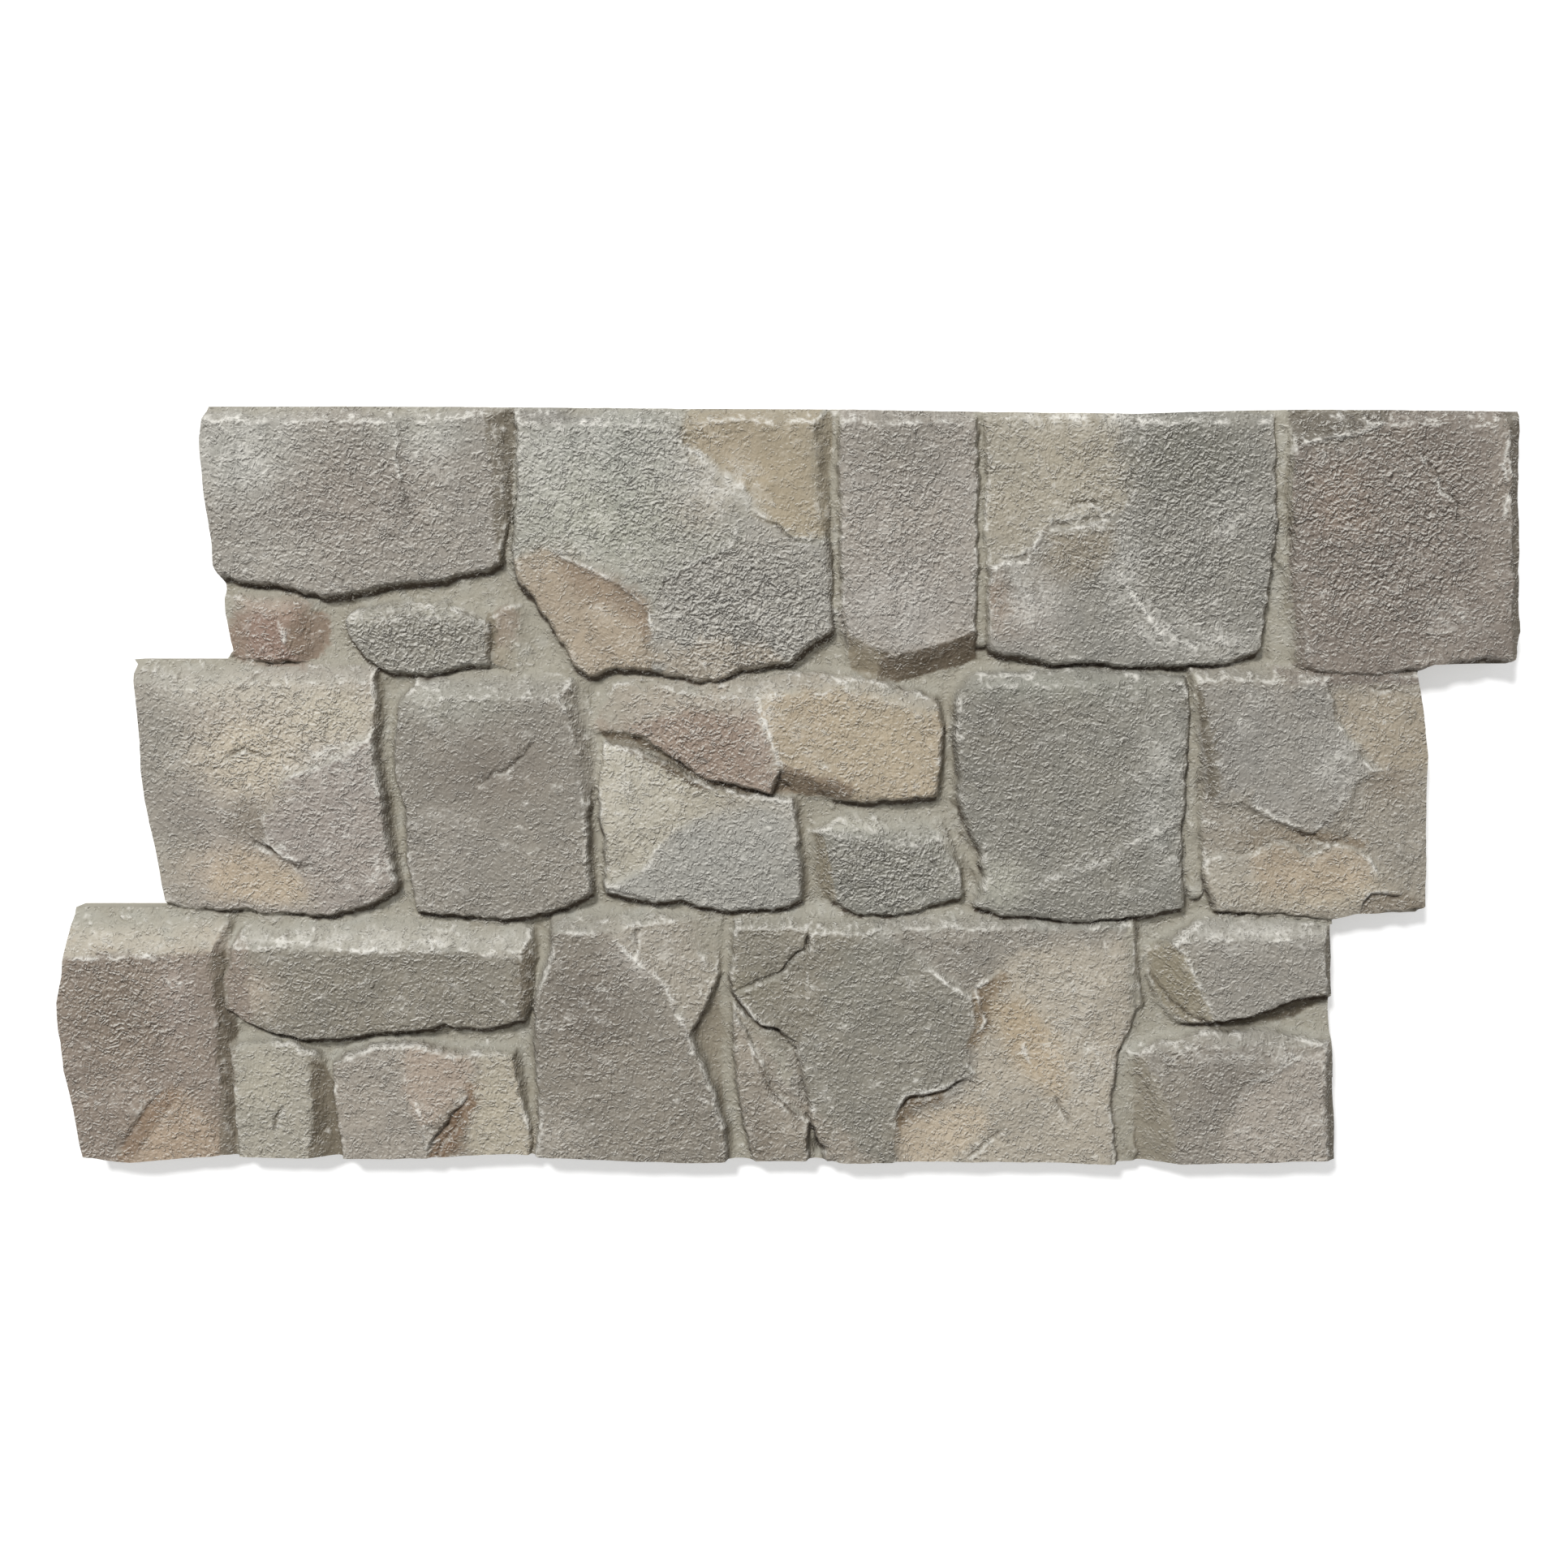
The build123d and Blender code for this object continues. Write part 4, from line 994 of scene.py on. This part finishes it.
# Places where the dry brush was pressed harder: a centre, two radii and an amount
FROST = {
    "corner stone, left": ((300, 560), (60, 50), 0.45),
    "corner stone, middle": ((535, 560), (30, 40), 0.35),
    "broad stone, left": ((700, 560), (70, 60), 0.3),
    "broad stone, crest": ((890, 600), (50, 30), 0.6),
    "narrow stone, low": ((1100, 760), (45, 40), 0.35),
    "stepped stone, step": ((1340, 640), (50, 12), 0.35),
    "stepped stone, left end of the step": ((1235, 695), (35, 10), 0.35),
    "stepped stone, left": ((1265, 735), (40, 40), 0.5),
    "stepped stone, band": ((1385, 705), (22, 40), 0.6),
    "stepped stone, band, lower": ((1425, 775), (40, 25), 0.6),
    "stepped stone, right": ((1515, 640), (30, 25), 0.6),
    "stepped stone, foot": ((1495, 790), (40, 25), 0.6),
    "stepped stone, rim": ((1330, 515), (100, 12), 0.6),
    "last stone, low right": ((1790, 765), (25, 22), 0.4),
    "end stone, plate": ((415, 940), (50, 18), 0.5),
    "square stone, left": ((545, 880), (25, 40), 0.4),
    "sill, left": ((770, 960), (30, 45), 0.4),
    "lintel, ridge": ((945, 880), (14, 35), 0.6),
    "block, right": ((1430, 970), (22, 90), 0.4),
    "flaked stone, shelf": ((1655, 935), (22, 40), 0.5),
    "long stone, rim": ((450, 1160), (180, 8), 0.5),
    "dark stone, facet": ((800, 1180), (40, 30), 0.35),
    "wide stone, right": ((1330, 1300), (50, 70), 0.3),
    "cap stone, rim": ((1550, 1150), (90, 8), 0.5),
    "footing, rim": ((1540, 1302), (90, 7), 0.5),
}
frost = np.zeros((rows, columns), np.float32)
for centre, radii, wanted in FROST.values():
    frost = np.maximum(frost, wanted * cloud(centre, radii, 1))
frost = frost * ramp(smooth_noise(0.008, 3), -0.6, 0.3) * (1 - low_mortar)
# The dry brush counts most where the surface faces the panel's top, and the lips of the ledges get a painted
# highlight, so this amount is partly a painted highlight
brush_and_highlight_amount = np.clip((0.8 * crest * facing + 0.9 * chalk_and_highlight) * strokes + frost, 0, 1)

# Painted shade: a painted contact shadow under walls that face down the panel, shade in hollows that face
# the same way, and the painted shadows of the ledges and cracks
SHADOW_ROWS = 5
SHADOW_BORDER = ((0.0022, 0.014, 2), (0.0022, 0.0045, 2))
overhang = np.zeros((rows, columns), np.float32)
for step in range(1, SHADOW_ROWS + 1):
    overhang = np.maximum(overhang, np.roll(height, -step, axis=0) - height)
contact_shadow = ramp(overhang + hills(*SHADOW_BORDER), 0.0060, 0.0095)
in_shade = ramp(fall_y + 0.12 * np.abs(fall_x), -0.1, 0.7)
painted_shade_amount = np.clip(0.5 * hollow * in_shade + contact_shadow + 0.45 * painted_shadow, 0, 1)

# Places whose grain is coarser or smoother than the rest: a centre, two radii and an amount
GRAIN_CLOUDS = {
    "broad stone, middle": ((800, 590), (110, 90), 1.5),
    "broad stone, left": ((690, 620), (60, 90), 1.2),
    "broad stone, coarse corner": ((915, 745), (105, 78), 2.0),
    "broad stone, tan corner": ((720, 750), (85, 60), 0.6),
    "broad stone, ochre corner": ((940, 575), (90, 75), 0.5),
    "wedge": ((1090, 1070), (80, 50), 1.5),
    "last": ((1700, 640), (120, 140), 1.5),
    "grey chip": ((510, 785), (70, 40), 1.6),
    "corner": ((430, 610), (170, 110), 1.1),
    "stepped": ((1450, 640), (110, 140), 1.4),
    "sill": ((880, 1060), (90, 45), 1.0),
    "first": ((150, 1240), (80, 70), 1.1),
    "square": ((600, 960), (100, 80), 0.6),
    "end": ((230, 1020), (60, 80), 0.8),
    "end, upper": ((330, 920), (120, 60), 1.2),
    "end, plate": ((415, 1000), (60, 90), 1.0),
    "narrow": ((1110, 640), (70, 120), 1.2),
    "lintel": ((850, 920), (80, 60), 1.2),
    "block": ((1330, 980), (120, 130), 0.95),
}
grain_amount = 0.8 + 0.15 * smooth_noise(0.03)
for centre, radii, wanted in GRAIN_CLOUDS.values():
    grain_amount = grain_amount + cloud(centre, radii, 2) * (wanted - grain_amount)
grain_amount = grain_amount * (1 - 0.35 * low_mortar) * (1 - 0.2 * faces_up) * (1 - 0.15 * side_facet)
for name, amount in (("brush_and_highlight", brush_and_highlight_amount), ("painted_shade", painted_shade_amount), ("grain", grain_amount)):
    print(f"{name} {amount.mean():.2f} on average")

# %% [markdown]
# The map becomes one mesh. A grid of points offset row by row gives even triangles, and a
# constrained triangulation keeps them inside the panel's real outline, which is read off the
# solid's back: an edge on the outline belongs to one face only, and an edge inside it to two. The
# mesh is far too dense at first; the decimate modifier then keeps triangles where the surface bends
# and spends few on what is nearly flat. It moves the paint's borders too, so the points along them
# are kept out of the vertex group that it may merge.

# %% Outline of the back
BACK_LEVEL = 1e-5
GRID_STEP = 0.0012


def outer_loop(faces):
    """The closed loop round a patch of faces, which are rows of corners, in the way that they turn."""
    edges = {}
    for corners in faces:
        for a, b in zip(corners, corners[1:] + corners[:1]):
            if (b, a) in edges:
                del edges[(b, a)]
            else:
                edges[(a, b)] = True
    following = dict(edges.keys())
    loop = [next(iter(following))]
    while following[loop[-1]] != loop[0]:
        loop.append(following[loop[-1]])
    return loop


def resample(loop, step):
    """Points along a closed loop at about an even step, with its corners kept."""
    points = []
    for (x0, y0), (x1, y1) in zip(loop, loop[1:] + loop[:1]):
        count = max(1, round(hypot(x1 - x0, y1 - y0) / step))
        for k in range(count):
            points.append((x0 + (x1 - x0) * k / count, y0 + (y1 - y0) * k / count))
    return points


flat_faces = []
for triangle in panel_mesh.loop_triangles:
    corners = [panel_mesh.vertices[i].co for i in triangle.vertices]
    if max(corner.z for corner in corners) <= BACK_LEVEL:
        flat_faces.append([(round(corner.x, 6), round(corner.y, 6)) for corner in corners])
outline = resample(outer_loop(flat_faces), GRID_STEP)

# The back faces down, so its loop turns clockwise from above
outline.reverse()
print(f"outline of {len(outline)} points")

# %% Points for the front
EDGE_GAP = 0.0008
WELL_INSIDE = 0.99
BUSY = 0.00022
TONE_STEP = 8.0
AMOUNT_TO_TONE = 80

grid_x = np.arange(low.x, high.x, GRID_STEP)
grid_y = np.arange(low.y, high.y, GRID_STEP * 0.866)
odd_row = (np.arange(len(grid_y)) % 2)[:, None]
odd_column = (np.arange(len(grid_x)) % 2)[None, :]
points_x, points_y = np.meshgrid(grid_x, grid_y)
points_x = points_x + odd_row * GRID_STEP / 2

# Where the surface is calm, three points out of four are left out
busy = blur(np.abs(height - blur(height, 0.0015)), 0.002) > BUSY
inner = blur(on_panel.astype(np.float32), EDGE_GAP)
keep = sample(inner, points_x, points_y) > WELL_INSIDE
keep &= (odd_row + odd_column == 0) | (sample(busy.astype(np.float32), points_x, points_y) > 0.5)
tone = colour.mean(axis=2) + AMOUNT_TO_TONE * (brush_and_highlight_amount - painted_shade_amount)
paint_border = np.abs(tone - blur(tone, 0.002)) > TONE_STEP
print(f"{keep.sum()} points inside the outline")

# %% Front of the panel
TRIANGLES = 178000


def triangulate(points, rim_count):
    """Triangles with all the points as corners, inside the loop that the first of them make."""
    return delaunay_2d_cdt(points, [], [list(range(rim_count))], 1, 1e-7)


points = [Vector(p) for p in outline]
points += [Vector(p) for p in zip(points_x[keep], points_y[keep])]
flat, _, triangles, *_ = triangulate(points, len(outline))
plan = np.array([tuple(p) for p in flat])
surface_z = np.minimum(sample(height, plan[:, 0], plan[:, 1]), high.z)

front_mesh = bpy.data.meshes.new("panel_front")
front_mesh.from_pydata(np.column_stack([plan, surface_z]).tolist(), [], triangles)
front = bpy.data.objects.new("panel_front", front_mesh)
bpy.context.scene.collection.objects.link(front)

free = front.vertex_groups.new(name="free to merge")
at_border = sample(paint_border.astype(np.float32), plan[:, 0], plan[:, 1]) > 0.5
free.add(np.flatnonzero(~at_border).tolist(), 1.0, "REPLACE")
decimate = front.modifiers.new("decimate", "DECIMATE")
decimate.ratio = TRIANGLES / len(triangles)
decimate.vertex_group = free.name
depsgraph = bpy.context.evaluated_depsgraph_get()
reduced = bpy.data.meshes.new_from_object(front.evaluated_get(depsgraph))
bpy.data.objects.remove(front)
print(f"{at_border.mean():.0%} of the points lie along borders of the paint")
print(f"front of {len(triangles)} triangles, reduced to {len(reduced.polygons)}")

# %% [markdown]
# The sides are straight down to the back, as a mould that opens upward leaves them. They are made
# from the front's own rim, so that no seam can open. The back is one flat face on the real panel.
# A single face with thousands of corners is cut into slivers that shade in faint ripples, so the
# back gets a few points of its own and is triangulated as the front was.

# %% Sides and back
SIDE_RINGS = 3
BACK_STEP = 0.03

vertices = [tuple(np.clip(v.co, low, high)) for v in reduced.vertices]
faces = [tuple(p.vertices) for p in reduced.polygons]
front_count = len(faces)
side_start = len(vertices)
ring = outer_loop(faces)
count = len(ring)
upper = ring
for step in range(1, SIDE_RINGS + 1):
    lower = list(range(len(vertices), len(vertices) + count))
    share = 1 - step / SIDE_RINGS
    vertices += [(vertices[i][0], vertices[i][1], vertices[i][2] * share) for i in ring]
    for k in range(count):
        n = (k + 1) % count
        faces.append((upper[n], upper[k], lower[k], lower[n]))
    upper = lower
side_count = len(faces) - front_count

back_x, back_y = np.meshgrid(np.arange(low.x, high.x, BACK_STEP), np.arange(low.y, high.y, BACK_STEP))
inside = sample(inner, back_x, back_y) > WELL_INSIDE
back_plan = [Vector(vertices[i][:2]) for i in upper]
back_plan += [Vector(p) for p in zip(back_x[inside], back_y[inside])]
_, _, back_faces, came_from, *_ = triangulate(back_plan, count)
back_vertex = upper + list(range(len(vertices), len(vertices) + int(inside.sum())))
vertices += [(p.x, p.y, 0.0) for p in back_plan[count:]]
faces += [tuple(back_vertex[came_from[i][0]] for i in reversed(face)) for face in back_faces]

panel_skin = bpy.data.meshes.new("stone_panel")
panel_skin.from_pydata(vertices, [], faces)
panel_skin.validate()
panel = bpy.data.objects.new("stone_panel", panel_skin)
bpy.context.scene.collection.objects.link(panel)
print(f"{count} rim points, {side_count} side faces, {len(back_faces)} triangles on the back")
print(f"{front_count + 2 * side_count + len(back_faces)} triangles in all")

# %% Smooth shading
SHARP = radians(42)
panel_skin.shade_smooth()
panel_skin.set_sharp_from_angle(angle=SHARP)
print(f"edges are sharp from {degrees(SHARP):.0f} degrees")

# %% [markdown]
# The colours and amounts go from the grid to the mesh as two colour attributes, one value at each
# vertex. Light adds up on a straight scale and not on the scale of a screen, so the colours are
# turned into linear light on the way. The amount of grain goes up to 2, so half of it is kept. Down
# the sides the stone colours give way to the plain colour of the mortar, and the back has only that.

# %% Paint on the mesh
def linear(value):
    """Screen values from 0 to 255 as linear light."""
    value = np.clip(value, 0, 255) / 255
    return np.where(value <= 0.04045, value / 12.92, ((value + 0.055) / 1.055) ** 2.4)


SIDE_STONE = 0.5
SIDE_GRAIN = 0.25

vertex = np.array(vertices)
paint_values = np.ones((len(vertices), 4), np.float32)
amount_values = np.ones((len(vertices), 4), np.float32)
for channel, amount in enumerate((brush_and_highlight_amount, painted_shade_amount, grain_amount / 2)):
    tint = sample(colour[..., channel], vertex[:, 0], vertex[:, 1])
    paint_values[:, channel] = linear(tint)
    amount_values[:, channel] = np.clip(sample(amount, vertex[:, 0], vertex[:, 1]), 0, 1)
bare = np.zeros(len(vertices))
bare[side_start:] = 1 - SIDE_STONE * (vertex[side_start:, 2] / thickness)
paint_values[:, :3] += bare[:, None] * (linear(np.array(MORTAR)) - paint_values[:, :3])
amount_values[side_start:, :2] = 0
amount_values[side_start:, 2] = SIDE_GRAIN * (1 - bare[side_start:])
for name, values in (("paint", paint_values), ("amounts", amount_values)):
    layer = panel_skin.color_attributes.new(name, "FLOAT_COLOR", "POINT")
    layer.data.foreach_set("color", values.ravel())
    print(f"{name} on {len(layer.data)} vertices")

# %% [markdown]
# The paint needs room of its own on the texture, so the mesh gets a simple layout: the front fills
# most of the square, the sides run in thin strips below it and the plain back has the least.

# %% Texture layout
UV_MARGIN = 0.003
FRONT_FOOT, FRONT_HEIGHT = 0.203, 0.794
BACK_FOOT, BACK_HEIGHT = 0.004, 0.07
SIDE_STRIPS = 4
SIDE_FOOT, STRIP_STEP, STRIP_HEIGHT = 0.085, 0.027, 0.022
STRIP_LENGTH = 0.99

uv_layer = panel_skin.uv_layers.new(name="OFBake")
uv = np.zeros((len(panel_skin.loops), 2), np.float32)
loop_vertex = np.zeros(len(panel_skin.loops), int)
panel_skin.loops.foreach_get("vertex_index", loop_vertex)
place = vertex[loop_vertex]
across = (place[:, 0] - low.x) / length
up = (place[:, 1] - low.y) / width
front_loops = front_count * 3
uv[:, 0] = UV_MARGIN + (1 - 2 * UV_MARGIN) * across
uv[:front_loops, 1] = FRONT_FOOT + FRONT_HEIGHT * up[:front_loops]
uv[front_loops:, 1] = BACK_FOOT + BACK_HEIGHT * up[front_loops:]

# The sides are unrolled: how far round the rim each vertex is says where it goes in the strips
around = np.zeros(len(vertices))
around[ring] = np.arange(count)
around[side_start:side_start + SIDE_RINGS * count] = np.tile(np.arange(count), SIDE_RINGS)
side_loops = slice(front_loops, front_loops + side_count * 4)
side_around = around[loop_vertex[side_loops]].reshape(-1, 4)
start_of_face = side_around[:, 1:2]
span = count / SIDE_STRIPS
strip = np.floor(start_of_face / span).clip(0, SIDE_STRIPS - 1)
wrapped = np.where(side_around < start_of_face - 1, side_around + count, side_around)
side_u = UV_MARGIN + STRIP_LENGTH * (wrapped - strip * span) / (span + 1)
side_height = place[side_loops, 2].reshape(-1, 4) / thickness
side_v = SIDE_FOOT + STRIP_STEP * strip + STRIP_HEIGHT * side_height
uv[side_loops, 0] = side_u.ravel()
uv[side_loops, 1] = side_v.ravel()
uv_layer.uv.foreach_set("vector", uv.ravel())
print(f"texture places for {len(uv)} corners")

# %% [markdown]
# Shader expressions read better than rows of node calls. This small class wraps a socket, so that
# plain Python arithmetic on it adds the Math nodes.

# %% Shader expressions
class Value:
    """A number socket that can be used in arithmetic."""

    def __init__(self, tree, socket):
        self.tree = tree
        self.socket = socket

    def math(self, operation, *others):
        """A Math node on this value and others."""
        items = dict(enumerate((self,) + others))
        return node(self.tree, "ShaderNodeMath", {"operation": operation}, items)

    def __add__(self, other):
        return self.math("ADD", other)

    __radd__ = __add__

    def __sub__(self, other):
        return self.math("SUBTRACT", other)

    def __rsub__(self, other):
        return self * -1.0 + other

    def __mul__(self, other):
        return self.math("MULTIPLY", other)

    __rmul__ = __mul__

    def __abs__(self):
        return self.math("ABSOLUTE")

    def ramp(self, start, end):
        """0 at start, 1 at end and a soft step between them, whichever is larger."""
        return node(self.tree, "ShaderNodeMapRange", {"interpolation_type": "SMOOTHSTEP"},
                    {"Value": self, "From Min": start, "From Max": end})


def connect(tree, item, slot):
    """Puts a number, a colour or a link into a socket."""
    if isinstance(item, Value):
        tree.links.new(item.socket, slot)
    else:
        slot.default_value = item


def node(tree, kind, settings=None, inputs=None, output=0):
    """Adds a node: its settings first, then its sockets. It gives back one output, or a list."""
    made = tree.nodes.new(kind)
    for name, value in (settings or {}).items():
        setattr(made, name, value)
    for name, value in (inputs or {}).items():
        connect(tree, value, made.inputs[name])
    if isinstance(output, tuple):
        return [Value(tree, made.outputs[name]) for name in output]
    return Value(tree, made.outputs[output]) if made.outputs else None


def blend(tree, share, first, second):
    """Mixes two colours."""
    return node(tree, "ShaderNodeMix", {"data_type": "RGBA"}, {0: share, 6: first, 7: second}, output=2)


def new_material(name):
    """A material with no nodes yet, and its node tree."""
    material = bpy.data.materials.new(name)
    material.use_nodes = True
    material.node_tree.nodes.clear()
    return material, material.node_tree


def srgb(red, green, blue):
    """A colour as a painter reads it off a screen, 0 to 255, as linear light."""
    return tuple(float(linear(value)) for value in (red, green, blue)) + (1.0,)


# %% [markdown]
# The grain of the coat is a leathery crumple. Cells with bent borders give the folds, and lines where
# a noise passes its middle value give short winding strokes, which a third noise breaks up.
# The side of each fold that faces the panel's top is given a painted highlight and the other side
# painted shade, as the lamp beyond the top edge lights them. To know the side, the shader works the
# grain out twice: at the place itself, and a little further up.

# %% Grain of the coat
DRIFT = (0.013, 0.013, 0.013)
DRIFT_SCALE = 90.0
FOLD_SCALE = 300.0
STROKE_SCALE = 130.0
BREAK_SCALE = 150.0
GRIT_SCALE = 480.0


def noise(tree, place, scale, detail, distortion, output=0):
    """A Noise Texture node."""
    return node(tree, "ShaderNodeTexNoise", {"noise_dimensions": "3D"},
                {"Vector": place, "Scale": scale, "Detail": detail, "Roughness": 0.55,
                 "Distortion": distortion}, output=output)


def vector(tree, operation, *items):
    """A Vector Math node."""
    return node(tree, "ShaderNodeVectorMath", {"operation": operation}, dict(enumerate(items)))


def crumple(tree, place):
    """The height of the grain at a place."""
    drift = noise(tree, place, DRIFT_SCALE, 1.0, 0.0, output=1)
    bent = vector(tree, "MULTIPLY_ADD", drift, DRIFT, place)
    folds = node(tree, "ShaderNodeTexVoronoi", None, {"Vector": bent, "Scale": FOLD_SCALE})
    winding = noise(tree, place, STROKE_SCALE, 1.0, 1.6)
    broken = noise(tree, place, BREAK_SCALE, 1.0, 0.0).ramp(0.42, 0.6)
    strokes = abs(winding - 0.5).ramp(0.11, 0.0) * broken
    grit = noise(tree, place, GRIT_SCALE, 1.0, 0.3)
    return folds * 0.8 + strokes * 0.5 + grit * 0.5


# %% Panel material
# Pale paint of the dry brush, also used as painted highlight, and the dark brown of the painted shade
DRY_BRUSH_AND_HIGHLIGHT = srgb(240, 237, 228)
SHADE_COLOUR = srgb(53, 37, 18)
RELIEF = 0.0016
LUMP_SCALE = 90.0
LUMP_SHARE = 1.4
UP_STEP = (-0.0002, 0.0007, 0.0)
SIDE_GAIN = 4.0
SHADE_STRENGTH = 0.9
FOLD_SHADE = 0.55
FOLD_HIGHLIGHT = 0.65
ROUGHNESS = 0.85


def stone_coat():
    """The finish of the panel: its paint, then painted shade, then a painted highlight and shade on the two
    sides of each fold, then the dry brush, which also paints highlight.
    """
    material, tree = new_material("sprayed stone coat")
    place = node(tree, "ShaderNodeTexCoord", output="Object")
    paint = node(tree, "ShaderNodeAttribute", {"attribute_name": "paint"})
    amounts = node(tree, "ShaderNodeAttribute", {"attribute_name": "amounts"})
    brush_and_highlight, painted_shade, half_grain = node(tree, "ShaderNodeSeparateColor", None, {0: amounts}, output=(0, 1, 2))
    grain = half_grain * 2.0
    fold = crumple(tree, place)
    fold_above = crumple(tree, vector(tree, "ADD", place, UP_STEP))
    side = (fold - fold_above) * grain * SIDE_GAIN
    lumps = noise(tree, place, LUMP_SCALE, 3.0, 0.8)
    bump = node(tree, "ShaderNodeBump", None,
                {"Strength": 1.0, "Distance": RELIEF, "Height": (fold + lumps * LUMP_SHARE) * grain})
    # Painted shade, then painted shade and painted highlight on the two sides of each fold, then the dry
    # brush with its painted highlight
    coat = blend(tree, painted_shade * SHADE_STRENGTH, paint, SHADE_COLOUR)
    coat = blend(tree, side.ramp(-0.15, -1.3) * FOLD_SHADE, coat, SHADE_COLOUR)
    coat = blend(tree, side.ramp(0.1, 1.3) * FOLD_HIGHLIGHT, coat, DRY_BRUSH_AND_HIGHLIGHT)
    coat = blend(tree, brush_and_highlight * (fold.ramp(0.4, 0.85) * 0.8 + 0.15), coat, DRY_BRUSH_AND_HIGHLIGHT)
    shader = node(tree, "ShaderNodeBsdfPrincipled", None,
                  {"Base Color": coat, "Roughness": ROUGHNESS, "Normal": bump})
    node(tree, "ShaderNodeOutputMaterial", None, {"Surface": shader})
    print(f"{material.name}: {len(tree.nodes)} nodes")
    return material


panel_skin.materials.append(stone_coat())
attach(panel, "root")
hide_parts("panel")

# %% [markdown]
# The floor is plain and pale. It shows as white to the camera, and only the panel's own shadow
# darkens it. An even world light fills all sides, and one large lamp beyond the panel's top edge
# gives the relief its light and dark sides, as the photographer's lamp did.

# %% Floor and light
WHITE = (1.0, 1.0, 1.0, 1.0)
PALE = (0.9, 0.9, 0.9, 1.0)
FLOOR_SIZE = 12.0
FLOOR_GLOW = 0.35
WORLD_LIGHT = 0.40
KEY_PLACE = Vector((-1.6, 3.0, 5.2))
KEY_SIZE = 0.8
KEY_POWER = 257.0
RAYS = ("Is Camera Ray", "Is Glossy Ray", "Is Transmission Ray")


def floor_material():
    """A pale floor that glows a little to the camera and in reflections."""
    material, tree = new_material("pale floor")
    paint = node(tree, "ShaderNodeBsdfDiffuse", None, {"Color": PALE})
    seen, mirrored, through = node(tree, "ShaderNodeLightPath", output=RAYS)
    shown = seen.math("MAXIMUM", mirrored).math("MAXIMUM", through)
    glow = node(tree, "ShaderNodeEmission", None, {"Color": WHITE, "Strength": shown * FLOOR_GLOW})
    both = node(tree, "ShaderNodeAddShader", None, {0: paint, 1: glow})
    node(tree, "ShaderNodeOutputMaterial", None, {"Surface": both})
    return material


bpy.ops.mesh.primitive_plane_add(size=FLOOR_SIZE)
floor = bpy.context.object
floor.name = "floor"
floor.data.materials.append(floor_material())

world = bpy.data.worlds.new("studio")
world.use_nodes = True
background = world.node_tree.nodes["Background"]
background.inputs["Color"].default_value = WHITE
background.inputs["Strength"].default_value = WORLD_LIGHT
bpy.context.scene.world = world

key_data = bpy.data.lights.new("key", "AREA")
key_data.size = KEY_SIZE
key_data.energy = KEY_POWER
key = bpy.data.objects.new("key", key_data)
key.location = KEY_PLACE
key.rotation_euler = (-KEY_PLACE).to_track_quat("-Z", "Y").to_euler()
bpy.context.scene.collection.objects.link(key)
print(f"world light {WORLD_LIGHT}, key lamp of {KEY_POWER:.0f} W at {KEY_PLACE.length:.1f} m")

# %% Finish
scene = bpy.context.scene
scene.view_settings.view_transform = "Standard"
bpy.context.view_layer.update()
